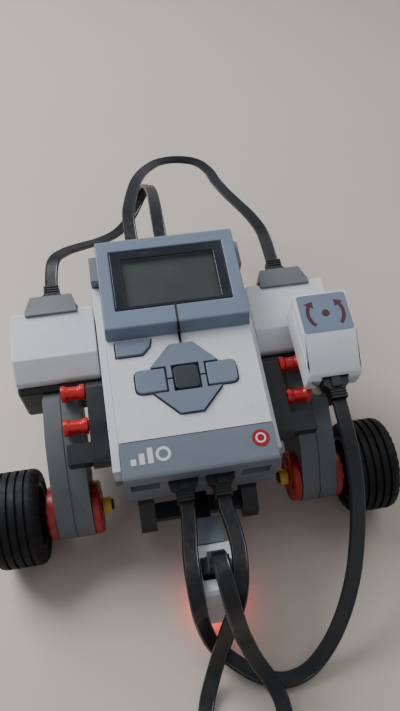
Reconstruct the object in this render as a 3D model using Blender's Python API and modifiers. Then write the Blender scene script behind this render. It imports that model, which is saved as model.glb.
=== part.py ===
"""Line follower robot: a programmable controller flanked by two geared motors, with two driven wheels
at the front, a ball caster at the back, a colour sensor that looks at the floor and a turn-rate sensor.

Units are metres, +Z is up, +X is the robot's right and the sockets' side of the controller looks to -Y.
The deck (controller and motors) has its own frame: its origin is the middle of the wheels' axis, and it
leans forward by DECK_TILT, because the caster at the back is taller than the wheels' radius.
"""

import math

import bmesh
import bpy
from mathutils import Matrix, Vector
from mathutils.geometry import interpolate_bezier

MM = 0.001
MODULE = 8 * MM  # pitch of the kit's holes and of all that fits to them
GAP = 0.3 * MM  # between pieces that touch
RUNNING_GAP = 0.35 * MM  # round an axle

# Overall
DECK_TILT = math.radians(15)
CASE_WIDTH = 72 * MM
CASE_LENGTH = 112 * MM
CASE_FRONT = -4 * MM
DECK_TOP = 48 * MM  # the controller's white top above the wheels' axis
BEAM = MODULE - 2 * GAP

# Wheels
TYRE_DIAMETER = 43.2 * MM
TYRE_WIDTH = 22 * MM
RIM_DIAMETER = 30.4 * MM
RIM_WIDTH = 20 * MM
TYRE_SPACE = 2 * MM  # from the hub's outer face to the tyre
RIM_BARREL = 1.8 * MM
RIM_BOSS = 4.6 * MM
RIM_WEB = 1.6 * MM
RIM_INSET = 0.5 * MM  # of the boss behind the rim's edge
AXLE_SIZE = 4.8 * MM
AXLE_RIB = 1.8 * MM
AXLE_INNER_REACH = 1 * MM  # beyond the half bush
AXLE_OUTER_REACH = 1.5 * MM  # short of the tyre's outer side
BUSH_DIAMETER = 7.4 * MM
BUSH_LENGTH = 4 * MM

# Geared motors
HUB_DIAMETER = 24 * MM
HUB_SPAN = 3 * MODULE
HUB_SHAFT_DIAMETER = 10 * MM
HUB_CHAMFER = 0.8 * MM
ARM_WIDTH = 2 * MODULE
ARM_RADIUS = 12.3 * MM
ARM_TOP = 27.5 * MM
MOTOR_WIDTH = 38.5 * MM
MOTOR_FRONT = 50 * MM
MOTOR_REAR = 86.5 * MM
MOTOR_BOTTOM = -3 * MM
HOOD_BOTTOM = 24.5 * MM
HOOD_TOP = 34.5 * MM
HOOD_WALL = 1.8 * MM
CAN_DIAMETER = 23 * MM
CAN_LENGTH = 26 * MM
CAP_WIDTH = 24 * MM
CAP_DEPTH = 9.2 * MM
CAP_LIP = 3 * MM  # over the hood's back edge

# Controller
TOP_WIDTH = 64 * MM
CASE_BOTTOM = 15 * MM
TRAY_TOP = 22 * MM
LABEL_LENGTH = 16.2 * MM
REAR_BLOCK = 14 * MM
COVER_WALL = 2.2 * MM
COVER_TOP_WALL = 6.5 * MM
FLANGE_TOP = 37 * MM
FLANGE_FRONT = 4 * MM
BATTERY_WIDTH = 60 * MM
BATTERY_BOTTOM = 6 * MM
BATTERY_FRONT = 10 * MM
BATTERY_LENGTH = 90 * MM
BOARD_THICKNESS = 1.6 * MM
BOARD_HEIGHT = 30 * MM

# Display
BEZEL_HEIGHT = 5.5 * MM
BEZEL_FRONT = 58.5 * MM
BEZEL_SLOPE = 3.1 * MM
LENS_WIDTH = 52.4 * MM
LENS_LENGTH = 30.8 * MM
LENS_FRONT = 70.4 * MM
LENS_THICKNESS = 1.2 * MM
LCD_WIDTH = 43.4 * MM
LCD_LENGTH = 25.4 * MM
LCD_FRONT = 71.9 * MM
LCD_THICKNESS = 3 * MM

# Keys
KEYPAD_Y = 37.4 * MM
KEYPAD_HALF_WIDTH = 14.2 * MM
KEYPAD_HALF_LENGTH = 16 * MM
KEYPAD_END = 4.8 * MM
KEYPAD_SIDE = 6.2 * MM
WELL_DEPTH = 3.8 * MM
WELL_MARGIN = 0.5 * MM
KEY_LIFT = 1.5 * MM  # from the well's floor to a key at rest
KEY_PROUD = 1.2 * MM
KEY_SPLIT = 0.7 * MM
CENTRE_KEY = 10.6 * MM
LOBE_INNER = 8.9 * MM
LOBE_OUTER = 21.8 * MM
LOBE_HALF = 5.2 * MM

# Sockets and plugs
SOCKET_WIDTH = 12 * MM
SOCKET_HEIGHT = 9 * MM
SOCKET_DEPTH = 11.5 * MM
SOCKET_Z = 36 * MM
SOCKET_COUNT = 4
FRONT_PITCH = 15.6 * MM
REAR_PITCH = 14.4 * MM
REAR_SHIFT = -6.8 * MM  # the rear sockets leave room for the programming socket
PROGRAM_SOCKET = (8 * MM, 6 * MM, 4 * MM)
PROGRAM_X = 28 * MM
MOTOR_SOCKET_Z = 24 * MM
MOTOR_SOCKET_DEPTH = 7.7 * MM
GYRO_SOCKET_Z = 42.5 * MM
PLUG_IN = 7 * MM
PLUG_HEAD = 2.2 * MM
PLUG_TAIL = 8.5 * MM
PLUG_THICKNESS = 6.6 * MM
TAIL_WIDTH = 7.2 * MM

# Sensors
GYRO_WIDTH = 24.4 * MM
GYRO_FRONT = 28 * MM
GYRO_REAR = 66 * MM
GYRO_BOTTOM = 36.8 * MM
GYRO_TOP = 56 * MM
GYRO_SLOPE = 17.5 * MM
EYE_WIDTH = 22 * MM
EYE_DEPTH = 21 * MM
EYE_HEIGHT = 36 * MM
EYE_CLEARANCE = 8 * MM
EYE_BACK = -36 * MM
EYE_LENS_DIAMETER = 13 * MM
EYE_POCKET = 3 * MM
EYE_LENS_INSET = 0.7 * MM
EYE_HEAD = (11 * MM, 11.5 * MM)  # the arm's block behind the sensor, across and along
EYE_HEAD_DROP = 1.2 * MM  # from the sensor's top

# Caster
BALL_DIAMETER = 18 * MM
CASTER_Y = 78 * MM
CASTER_DIAMETER = 23.4 * MM
CASTER_LIP = 2.1 * MM
CASTER_HEIGHT = 14 * MM

# Beams and pins
PIN_DIAMETER = 4.6 * MM
BEAM_HOLE = 5.2 * MM
PIN_BUSH_LENGTH = 10.5 * MM
SIDE_BEAM_Z = 4 * MODULE
SIDE_BEAM_START = 12 * MM
SIDE_BEAM_HOLES = 5
FOOT_REACH = 10 * MM
FRAME_DROP = 2 * MM  # of the front frame's underside below the wheels' axis
CONNECTOR_X = 20.3 * MM
CROSS_BAR = ((-9.7 * MM, -9 * MM), (-2.3 * MM, -2 * MM))  # low and high corner, seen from the side

# Cables, and the route of each between its plugs: millimetres from the floor below the wheels' axis
CORD_DIAMETER = 4 * MM
CORD_STEP = 9 * MM
CORD_LEAD = 4 * MM  # straight out of a plug
ROUTES = {
    "gyro_cable": [
        (-8.6, -34, 50.2),
        (-9.6, -42, 49.2),
        (-10, -50, 48.8),
        (-9.9, -56.5, 46.9),
        (-9.4, -61.4, 41),
        (-8.4, -62.4, 31),
        (-6.8, -63.2, 20),
        (-4, -65.5, 10),
        (1.5, -69.5, 3.8),
        (8, -75, 2.2),
        (15, -79.5, 2.2),
        (23.5, -82, 2.2),
        (32.5, -80.5, 3),
        (41, -75.5, 7.5),
        (50, -66, 16.5),
        (56.5, -54.5, 28.5),
        (60.5, -42, 40),
        (63, -29, 50.5),
        (64.2, -14, 59.5),
    ],
    "colour_sensor_cable": [
        (9.2, -35, 50.6),
        (9.5, -42, 49.9),
        (8.9, -49, 49.3),
        (7.6, -56, 47.2),
        (5.2, -62, 41.5),
        (1.8, -66, 32.5),
        (-1, -69, 22.5),
        (-3.6, -72, 13.5),
        (-6.5, -76.5, 6),
        (-9.8, -83, 2.4),
        (-12, -90.5, 2.2),
        (-11, -99, 2.2),
        (-5, -105.5, 2.2),
        (3.5, -108, 2.2),
        (12.5, -105.5, 2.2),
        (18.6, -98.5, 2.8),
        (19, -90.5, 6),
        (15.5, -83, 12),
        (10.5, -77, 20.5),
        (7.4, -73.5, 30),
        (5, -72, 40),
        (3, -69.5, 50),
        (1.4, -64.5, 58.6),
        (0.4, -57.5, 63),
        (0, -50.6, 62),
    ],
    "right_motor_cable": [
        (-13.6, 125, 88.5),
        (-11, 143, 85),
        (-5, 170, 78.5),
        (4.5, 196, 69),
        (14.5, 212, 62),
        (26, 217.5, 58.5),
        (36, 214, 58),
        (42, 201, 59.5),
        (43.5, 184, 63),
        (45.5, 166, 67.5),
        (48.5, 148, 72),
        (52, 131, 75.5),
        (55, 115, 76.5),
    ],
    "left_motor_cable": [
        (0.8, 125, 87),
        (1.6, 143, 82.5),
        (2.2, 160, 76),
        (2.2, 177, 67.5),
        (1, 190.5, 58.5),
        (-3, 193.5, 48.5),
        (-9.5, 186, 42),
        (-18.5, 171, 43),
        (-29.5, 154.5, 50.5),
        (-40, 139, 60.5),
        (-49, 124.5, 69.5),
        (-54.2, 112, 74.8),
    ],
}

# Worked out from the sizes above
CASE_REAR = CASE_FRONT + CASE_LENGTH
LABEL_BACK = CASE_FRONT + LABEL_LENGTH
BLOCK_FRONT = CASE_REAR - REAR_BLOCK
WHEEL_RADIUS = TYRE_DIAMETER / 2
MOTOR_X = CASE_WIDTH / 2 + MODULE + HUB_SPAN / 2
HUB_INNER = MOTOR_X - HUB_SPAN / 2
HUB_OUTER = MOTOR_X + HUB_SPAN / 2
AXLE_HOLE = AXLE_SIZE + 2 * RUNNING_GAP
BEZEL_BOTTOM = DECK_TOP + GAP
BEZEL_TOP = BEZEL_BOTTOM + BEZEL_HEIGHT
CAP_REAR = MOTOR_REAR + GAP + CAP_DEPTH
EYE_FRONT = EYE_BACK - EYE_DEPTH
EYE_MIDDLE = EYE_BACK - EYE_DEPTH / 2
EYE_TOP = EYE_CLEARANCE + EYE_HEIGHT
GYRO_X = MOTOR_X + MODULE
BALL_RADIUS = BALL_DIAMETER / 2
BALL_Z = (BALL_RADIUS - WHEEL_RADIUS - CASTER_Y * math.sin(DECK_TILT)) / math.cos(DECK_TILT)
CASTER_TOP = BALL_Z - CASTER_LIP + CASTER_HEIGHT
SIDES = (("left", -1), ("right", 1))

# Which way an outline drawn in X and Y is turned, and what its thickness then runs along
PLAN = Matrix.Identity(4)
SIDE_VIEW = Matrix(((0, 0, 1, 0), (1, 0, 0, 0), (0, 1, 0, 0), (0, 0, 0, 1)))  # (y, z), along X
FRONT_VIEW = Matrix(((1, 0, 0, 0), (0, 0, -1, 0), (0, 1, 0, 0), (0, 0, 0, 1)))  # (x, z), along -Y


# ---------------------------------------------------------------- scene, materials and tools


def clear_scene():
    for old in list(bpy.data.objects):
        bpy.data.objects.remove(old, do_unlink=True)


def collection(name, hidden=False):
    made = bpy.data.collections.new(name)
    bpy.context.scene.collection.children.link(made)
    made.hide_render = hidden
    return made


def material(name, colour, roughness, metallic=0.0):
    made = bpy.data.materials.new(name)
    made.use_nodes = True
    shader = made.node_tree.nodes["Principled BSDF"]
    shader.inputs["Base Color"].default_value = (*colour, 1)
    shader.inputs["Roughness"].default_value = roughness
    shader.inputs["Metallic"].default_value = metallic
    return made


clear_scene()
PARTS = collection("line_follower_robot")
CUTTERS = collection("cutters", hidden=True)
FINISH = {
    "white": material("white_plastic", (0.60, 0.61, 0.63), 0.45),
    "light_grey": material("light_grey_plastic", (0.28, 0.30, 0.32), 0.45),
    "blue_grey": material("display_grey_plastic", (0.22, 0.26, 0.32), 0.5),
    "dark_grey": material("dark_grey_plastic", (0.045, 0.045, 0.05), 0.5),
    "black": material("black_plastic", (0.012, 0.012, 0.014), 0.45),
    "red": material("red_plastic", (0.45, 0.01, 0.01), 0.35),
    "yellow": material("yellow_plastic", (0.65, 0.38, 0.04), 0.4),
    "rubber": material("tyre_rubber", (0.01, 0.01, 0.011), 0.75),
    "glass": material("screen_glass", (0.02, 0.024, 0.03), 0.15),
    "lcd": material("lcd_panel", (0.085, 0.1, 0.085), 0.35),
    "board": material("circuit_board", (0.02, 0.12, 0.05), 0.5),
    "steel": material("polished_steel", (0.6, 0.6, 0.62), 0.2, 1.0),
    "cable": material("cable_jacket", (0.01, 0.01, 0.013), 0.4),
    "red_lens": material("sensor_window", (0.5, 0.02, 0.02), 0.15),
}


def empty(name, location=(0, 0, 0), rotation=(0, 0, 0), parent=None):
    made = bpy.data.objects.new(name, None)
    PARTS.objects.link(made)
    made.location = location
    made.rotation_euler = rotation
    made.parent = parent
    return made


ROBOT = empty("robot")  # on the floor below the wheels' axis until the origin is centred
DECK = empty("deck", (0, 0, WHEEL_RADIUS), (DECK_TILT, 0, 0), ROBOT)


def place(made, finish, parent, home=PARTS):
    """Link an object under its parent, and give it its finish; a cutter is only a guide."""
    home.objects.link(made)
    made.parent = parent
    if home is CUTTERS:
        made.hide_render = True
        made.display_type = "WIRE"
    else:
        made.data.materials.append(FINISH[finish])
    return made


def soften(made, width, segments=1):
    bevel = made.modifiers.new("rounded_edges", "BEVEL")
    bevel.width = width
    bevel.segments = segments
    bevel.limit_method = "ANGLE"
    bevel.angle_limit = math.radians(40)
    bevel.use_clamp_overlap = True
    return made


def smooth(made, angle=35):
    made.data.shade_smooth()
    made.data.set_sharp_from_angle(angle=math.radians(angle))
    return made


def combine(made, other, operation="DIFFERENCE"):
    boolean = made.modifiers.new(other.name, "BOOLEAN")
    boolean.operation = operation
    boolean.solver = "EXACT"
    boolean.object = other
    return made


def box(name, low, high, finish="black", parent=DECK, home=PARTS, bevel=0.0):
    """A block between two corners, in its parent's frame."""
    low, high = Vector(low), Vector(high)
    mesh = bpy.data.meshes.new(name)
    shape = bmesh.new()
    bmesh.ops.create_cube(shape, size=1)
    bmesh.ops.scale(shape, vec=high - low, verts=shape.verts)
    shape.to_mesh(mesh)
    shape.free()
    made = place(bpy.data.objects.new(name, mesh), finish, parent, home)
    made.location = (low + high) / 2
    if bevel:
        soften(made, bevel)
    return made


def prism(name, outline, start, end, view=PLAN, finish="black", parent=DECK, home=PARTS, at=None):
    """A flat outline with a thickness from start to end along the view's third axis."""
    curve = bpy.data.curves.new(name, "CURVE")
    curve.dimensions = "2D"
    curve.fill_mode = "BOTH"
    curve.extrude = (end - start) / 2
    line = curve.splines.new("POLY")
    line.points.add(len(outline) - 1)
    for point, (x, y) in zip(line.points, outline):
        point.co = (x, y, 0, 1)
    line.use_cyclic_u = True
    guide = bpy.data.objects.new(name + "_outline", curve)
    bpy.context.scene.collection.objects.link(guide)
    graph = bpy.context.evaluated_depsgraph_get()
    mesh = bpy.data.meshes.new_from_object(guide.evaluated_get(graph))
    bpy.data.objects.remove(guide, do_unlink=True)
    bpy.data.curves.remove(curve)
    shape = bmesh.new()
    shape.from_mesh(mesh)
    bmesh.ops.remove_doubles(shape, verts=shape.verts, dist=0.00002)
    bmesh.ops.translate(shape, vec=(0, 0, (start + end) / 2), verts=shape.verts)
    bmesh.ops.transform(shape, matrix=view, verts=shape.verts)
    bmesh.ops.recalc_face_normals(shape, faces=shape.faces)
    shape.to_mesh(mesh)
    shape.free()
    mesh.name = name
    mesh.materials.clear()
    made = place(bpy.data.objects.new(name, mesh), finish, parent, home)
    if at:
        made.location = at
    return made


def turned(name, profile, finish, parent=DECK, at=(0, 0, 0), along="X", steps=32, home=PARTS):
    """A ring or shaft turned about an axis: its profile is a loop of (place on the axis, radius)."""
    mesh = bpy.data.meshes.new(name)
    shape = bmesh.new()
    points = [shape.verts.new((radius, 0, place)) for place, radius in profile]
    area = sum(
        a[0] * b[1] - b[0] * a[1] for a, b in zip(profile, profile[1:] + profile[:1])
    )
    if area < 0:
        points.reverse()
    closed = all(radius > 0 for _, radius in profile)
    for one, other in zip(points, points[1:] + points[:1] if closed else points[1:]):
        shape.edges.new((one, other))
    shape.to_mesh(mesh)
    shape.free()
    made = place(bpy.data.objects.new(name, mesh), finish, parent, home)
    screw = made.modifiers.new("turned", "SCREW")
    screw.axis = "Z"
    screw.steps = screw.render_steps = steps
    screw.use_merge_vertices = True
    screw.merge_threshold = 0.00001
    screw.use_smooth_shade = True
    made.location = at
    made.rotation_euler = {"X": (0, math.pi / 2, 0), "Y": (-math.pi / 2, 0, 0), "Z": (0, 0, 0)}[along]
    return made


def rod(name, radius, start, end, finish, at, along, home=PARTS, steps=24, parent=DECK):
    """A plain round bar from start to end along its axis."""
    profile = [(end, 0), (end, radius), (start, radius), (start, 0)]
    return turned(name, profile, finish, parent, at, along, steps, home)


def mirrored(outline):
    """The outline's other half, so that it reads on round the shape."""
    return [(-x, y) for x, y in reversed(outline)]


def arc(radius, start, end, count, centre=(0, 0)):
    """Points on an arc between two angles in degrees."""
    turns = [math.radians(start + (end - start) * i / count) for i in range(count + 1)]
    return [(centre[0] + radius * math.cos(t), centre[1] + radius * math.sin(t)) for t in turns]


# ---------------------------------------------------------------- controller


def socket_cutter(name, x, y, z, direction, depth=SOCKET_DEPTH):
    """The hollow of a cable socket, whose mouth is at (x, y, z) and opens along direction on Y."""
    inside = y - direction * depth
    outside = y + direction * 2 * MM
    low, high = sorted((inside, outside))
    half_width, half_height = SOCKET_WIDTH / 2, SOCKET_HEIGHT / 2
    return box(
        name,
        (x - half_width, low, z - half_height),
        (x + half_width, high, z + half_height),
        home=CUTTERS,
    )


def socket_places(pitch, shift=0.0):
    return [shift + (number - (SOCKET_COUNT - 1) / 2) * pitch for number in range(SOCKET_COUNT)]


FRONT_SOCKETS = socket_places(FRONT_PITCH)
REAR_SOCKETS = socket_places(REAR_PITCH, REAR_SHIFT)


def build_case():
    """The grey tray with a block of sockets at each end; its front block carries the label face."""
    half_top = TOP_WIDTH / 2
    rounding = 2.5 * MM
    outline = [
        (CASE_FRONT, CASE_BOTTOM),
        (CASE_FRONT, DECK_TOP - rounding),
        (CASE_FRONT + rounding * 0.3, DECK_TOP - rounding * 0.3),
        (CASE_FRONT + rounding, DECK_TOP),
        (LABEL_BACK, DECK_TOP),
        (LABEL_BACK, TRAY_TOP),
        (BLOCK_FRONT, TRAY_TOP),
        (BLOCK_FRONT, DECK_TOP),
        (CASE_REAR, DECK_TOP),
        (CASE_REAR, CASE_BOTTOM),
    ]
    case = prism("lower_case", outline, -half_top, half_top, SIDE_VIEW, "light_grey")
    floor = box(
        "tray_floor",
        (-CASE_WIDTH / 2, FLANGE_FRONT, CASE_BOTTOM),
        (CASE_WIDTH / 2, CASE_REAR - FLANGE_FRONT, TRAY_TOP),
        home=CUTTERS,
    )
    combine(case, floor, "UNION")
    step = 0.4 * MM
    shoulder = box(
        "rear_shoulder",
        (-CASE_WIDTH / 2, BLOCK_FRONT + step, CASE_BOTTOM + step),
        (CASE_WIDTH / 2, CASE_REAR - step, SOCKET_Z + SOCKET_HEIGHT / 2 + 1.8 * MM),
        home=CUTTERS,
    )
    combine(case, shoulder, "UNION")
    for number, x in enumerate(FRONT_SOCKETS, 1):
        combine(case, socket_cutter(f"front_socket_{number}", x, CASE_FRONT, SOCKET_Z, -1))
    for number, x in enumerate(REAR_SOCKETS, 1):
        combine(case, socket_cutter(f"rear_socket_{number}", x, CASE_REAR, SOCKET_Z, 1))
    wide, deep, high = PROGRAM_SOCKET
    program = box(
        "program_socket",
        (PROGRAM_X - wide / 2, CASE_REAR - deep, SOCKET_Z - high / 2),
        (PROGRAM_X + wide / 2, CASE_REAR + 2 * MM, SOCKET_Z + high / 2),
        home=CUTTERS,
    )
    combine(case, program)
    box(
        "battery_pack",
        (-BATTERY_WIDTH / 2, BATTERY_FRONT, BATTERY_BOTTOM),
        (BATTERY_WIDTH / 2, BATTERY_FRONT + BATTERY_LENGTH, CASE_BOTTOM - GAP),
        "light_grey",
        bevel=1.5 * MM,
    )


def octagon(margin):
    """The keypad's eight corners, with a margin round it."""
    width, length = KEYPAD_HALF_WIDTH + margin, KEYPAD_HALF_LENGTH + margin
    end, side = KEYPAD_END + margin * 0.6, KEYPAD_SIDE + margin * 0.4
    half = [(end, length), (width, side), (width, -side), (end, -length)]
    return half + mirrored(half)


def lobe(margin):
    """The outline of the right key, from its inner edge to its rounded outer end."""
    inner, outer, half = LOBE_INNER - margin, LOBE_OUTER + margin, LOBE_HALF + margin
    corner = 2.6 * MM
    return (
        [(inner, half), (inner, -half)]
        + arc(corner, -90, 0, 3, (outer - corner, -half + corner))
        + arc(corner, 0, 90, 3, (outer - corner, half - corner))
    )


def back_key(margin):
    """The outline of the small key below the screen's left corner."""
    top = BEZEL_FRONT - 0.9 * MM + margin * 0.8
    left, foot = -28.4 * MM - margin, 50.5 * MM - margin
    return [
        (left, top),
        (-12.6 * MM + margin, top),
        (-13.7 * MM + margin, 53.8 * MM),
        (-17.2 * MM + margin * 0.5, foot),
        (left, foot),
    ]


def build_cover():
    """The white shell over the tray, with a well for the keys and a hollow for the electronics."""
    front, back = LABEL_BACK + GAP, BLOCK_FRONT - GAP
    bottom, half = TRAY_TOP + GAP, CASE_WIDTH / 2
    top_half = TOP_WIDTH / 2
    cover = box("white_cover", (-top_half, front, bottom), (top_half, back, DECK_TOP), "white")
    for name, side in SIDES:
        edges = sorted((side * (top_half + GAP + 0.2 * MM), side * half))
        foot = box(
            f"{name}_flange",
            (edges[0], FLANGE_FRONT, bottom),
            (edges[1], back, FLANGE_TOP),
            home=CUTTERS,
        )
        combine(cover, foot, "UNION")
        joint = sorted((side * (top_half - 1 * MM), side * (half - 0.5 * MM)))
        web = box(
            f"{name}_flange_web",
            (joint[0], front + 0.5 * MM, bottom + 0.5 * MM),
            (joint[1], back - 0.5 * MM, FLANGE_TOP - 0.5 * MM),
            home=CUTTERS,
        )
        combine(cover, web, "UNION")
    hollow_half = top_half - COVER_WALL
    hollow = box(
        "cover_hollow",
        (-hollow_half, front + COVER_WALL, bottom - 2 * MM),
        (hollow_half, back - COVER_WALL, DECK_TOP - COVER_TOP_WALL),
        home=CUTTERS,
    )
    combine(cover, hollow)
    floor, over = DECK_TOP - WELL_DEPTH, DECK_TOP + 2 * MM
    keypad = (0, KEYPAD_Y, 0)
    combine(cover, prism("keypad_well", octagon(WELL_MARGIN), floor, over, home=CUTTERS, at=keypad))
    right = lobe(WELL_MARGIN)
    combine(cover, prism("right_well", right, floor, over, home=CUTTERS, at=keypad))
    combine(cover, prism("left_well", mirrored(right), floor, over, home=CUTTERS, at=keypad))
    combine(cover, prism("back_well", back_key(WELL_MARGIN), floor, over, home=CUTTERS))


def key(name, outline, finish, at=(0, KEYPAD_Y, 0)):
    """A key that stands in the well; its origin is on the axis that it travels along."""
    start = DECK_TOP - WELL_DEPTH + KEY_LIFT
    return prism(name, outline, start, DECK_TOP + KEY_PROUD, finish=finish, at=at)


def build_keys():
    inner = CENTRE_KEY / 2
    fork = inner + KEY_SPLIT
    split = LOBE_HALF + KEY_SPLIT
    half_up = [
        (KEYPAD_END, KEYPAD_HALF_LENGTH),
        (KEYPAD_HALF_WIDTH, split + 0.3 * MM),
        (KEYPAD_HALF_WIDTH, split),
        (LOBE_INNER - KEY_SPLIT, split),
        (LOBE_INNER - KEY_SPLIT, KEY_SPLIT / 2),
        (fork, KEY_SPLIT / 2),
        (fork, fork),
    ]
    up = half_up + mirrored(half_up)
    key("key_up", up, "light_grey")
    key("key_down", [(x, -y) for x, y in reversed(up)], "light_grey")
    right = lobe(0)
    key("key_right", right, "light_grey")
    key("key_left", mirrored(right), "light_grey")
    corner = 1.5 * MM
    square = (
        arc(corner, 0, 90, 2, (inner - corner, inner - corner))
        + arc(corner, 90, 180, 2, (corner - inner, inner - corner))
        + arc(corner, 180, 270, 2, (corner - inner, corner - inner))
        + arc(corner, 270, 360, 2, (inner - corner, corner - inner))
    )
    key("key_centre", square, "dark_grey")
    key("key_back", back_key(0), "light_grey", at=(0, 0, 0))


def build_display():
    """The raised block round the screen, its window, the glass and the panel below it."""
    half = TOP_WIDTH / 2
    outline = [
        (BEZEL_FRONT, BEZEL_BOTTOM),
        (BEZEL_FRONT + BEZEL_SLOPE, BEZEL_TOP),
        (CASE_REAR - 1 * MM, BEZEL_TOP),
        (CASE_REAR, BEZEL_TOP - 1 * MM),
        (CASE_REAR, BEZEL_BOTTOM),
    ]
    bezel = prism("display_bezel", outline, -half, half, SIDE_VIEW, "blue_grey")
    seat = BEZEL_TOP - LENS_THICKNESS - 2 * GAP
    lens_low = Vector((-LENS_WIDTH / 2, LENS_FRONT, seat))
    lens_high = Vector((LENS_WIDTH / 2, LENS_FRONT + LENS_LENGTH, BEZEL_TOP + 2 * MM))
    combine(bezel, box("lens_seat", lens_low, lens_high, home=CUTTERS))
    lcd_low = Vector((-LCD_WIDTH / 2, LCD_FRONT, BEZEL_BOTTOM - 2 * MM))
    lcd_high = Vector((LCD_WIDTH / 2, LCD_FRONT + LCD_LENGTH, seat + 1 * MM))
    combine(bezel, box("lcd_window", lcd_low, lcd_high, home=CUTTERS))
    clear = Vector((GAP, GAP, 0))
    box(
        "screen_lens",
        (*(lens_low + clear).xy, seat + GAP),
        (*(lens_high - clear).xy, seat + GAP + LENS_THICKNESS),
        "glass",
    )
    box(
        "lcd_module",
        (*(lcd_low + clear).xy, BEZEL_BOTTOM),
        (*(lcd_high - clear).xy, BEZEL_BOTTOM + LCD_THICKNESS),
        "lcd",
    )
    margin = COVER_WALL + 1 * MM
    box(
        "circuit_board",
        (-half + margin, LABEL_BACK + GAP + margin, BOARD_HEIGHT),
        (half - margin, BLOCK_FRONT - GAP - margin, BOARD_HEIGHT + BOARD_THICKNESS),
        "board",
    )


# ---------------------------------------------------------------- motors and wheels


def build_motor(name, side):
    """A geared motor: hood, body, rear cap with a socket, motor can and the arm that carries the hub."""
    middle, half = side * MOTOR_X, MOTOR_WIDTH / 2
    hood_outline = [
        (MOTOR_FRONT + 2.5 * MM, HOOD_BOTTOM),
        (MOTOR_FRONT + 2.5 * MM, HOOD_BOTTOM + 4 * MM),
        (MOTOR_FRONT + 12 * MM, HOOD_TOP),
        (MOTOR_REAR, HOOD_TOP),
        (MOTOR_REAR, HOOD_BOTTOM),
    ]
    hood = prism(f"{name}_motor_hood", hood_outline, middle - half, middle + half, SIDE_VIEW, "white")
    soften(hood, 0.8 * MM)
    inner = half - HOOD_WALL
    hollow_front = MOTOR_FRONT + 5 * MM
    combine(
        hood,
        box(
            f"{name}_hood_hollow",
            (middle - inner, hollow_front + 4 * MM, HOOD_BOTTOM - 2 * MM),
            (middle + inner, MOTOR_REAR - HOOD_WALL, HOOD_TOP - HOOD_WALL - 1 * MM),
            home=CUTTERS,
        ),
    )
    body_top = HOOD_BOTTOM - GAP
    body_outline = [
        (MOTOR_FRONT, MOTOR_BOTTOM),
        (MOTOR_FRONT, body_top - 2 * MM),
        (MOTOR_FRONT + 1.5 * MM, body_top),
        (MOTOR_REAR, body_top),
        (MOTOR_REAR, MOTOR_BOTTOM),
    ]
    body = prism(
        f"{name}_motor_body", body_outline, middle - half, middle + half, SIDE_VIEW, "dark_grey"
    )
    soften(body, 1.2 * MM)
    can_radius = CAN_DIAMETER / 2
    can_z = MOTOR_BOTTOM + 2.5 * MM + GAP + can_radius
    hollow_half = half - 3 * MM
    combine(
        body,
        box(
            f"{name}_body_hollow",
            (middle - hollow_half, hollow_front, can_z - can_radius - GAP),
            (middle + hollow_half, MOTOR_REAR - 3 * MM, body_top + 2 * MM),
            home=CUTTERS,
        ),
    )
    can_start = hollow_front + 1 * MM
    rod(
        f"{name}_motor_can",
        can_radius,
        can_start,
        can_start + CAN_LENGTH,
        "steel",
        (middle, 0, can_z),
        "Y",
    )
    cap_outline = [
        (MOTOR_REAR + GAP, 0),
        (MOTOR_REAR + GAP, HOOD_TOP + GAP),
        (MOTOR_REAR - CAP_LIP, HOOD_TOP + GAP),
        (MOTOR_REAR - CAP_LIP + 0.5 * MM, HOOD_TOP + 1.3 * MM),
        (CAP_REAR - 0.7 * MM, HOOD_TOP - 1.4 * MM),
        (CAP_REAR, HOOD_TOP - 3.5 * MM),
        (CAP_REAR, 0),
    ]
    cap_half = CAP_WIDTH / 2
    cap = prism(
        f"{name}_motor_rear_cap", cap_outline, middle - cap_half, middle + cap_half, SIDE_VIEW, "light_grey"
    )
    socket = socket_cutter(
        f"{name}_motor_socket", middle, CAP_REAR, MOTOR_SOCKET_Z, 1, depth=MOTOR_SOCKET_DEPTH
    )
    combine(cap, socket)
    back = MOTOR_FRONT - GAP
    arm_outline = (
        [(back, MOTOR_BOTTOM), (back, ARM_TOP - 5.5 * MM), (back - 5.5 * MM, ARM_TOP)]
        + [(24 * MM, ARM_TOP), (5 * MM, 20.5 * MM)]
        + arc(ARM_RADIUS, 135, 275, 12)
        + [(20 * MM, -9.5 * MM)]
    )
    arm_half = ARM_WIDTH / 2
    arm = prism(
        f"{name}_motor_arm", arm_outline, middle - arm_half, middle + arm_half, SIDE_VIEW, "light_grey"
    )
    bore = HUB_SHAFT_DIAMETER / 2 + RUNNING_GAP
    combine(
        arm,
        rod(f"{name}_hub_bore", bore, -ARM_WIDTH, ARM_WIDTH, "", (middle, 0, 0), "X", CUTTERS),
    )


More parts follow.
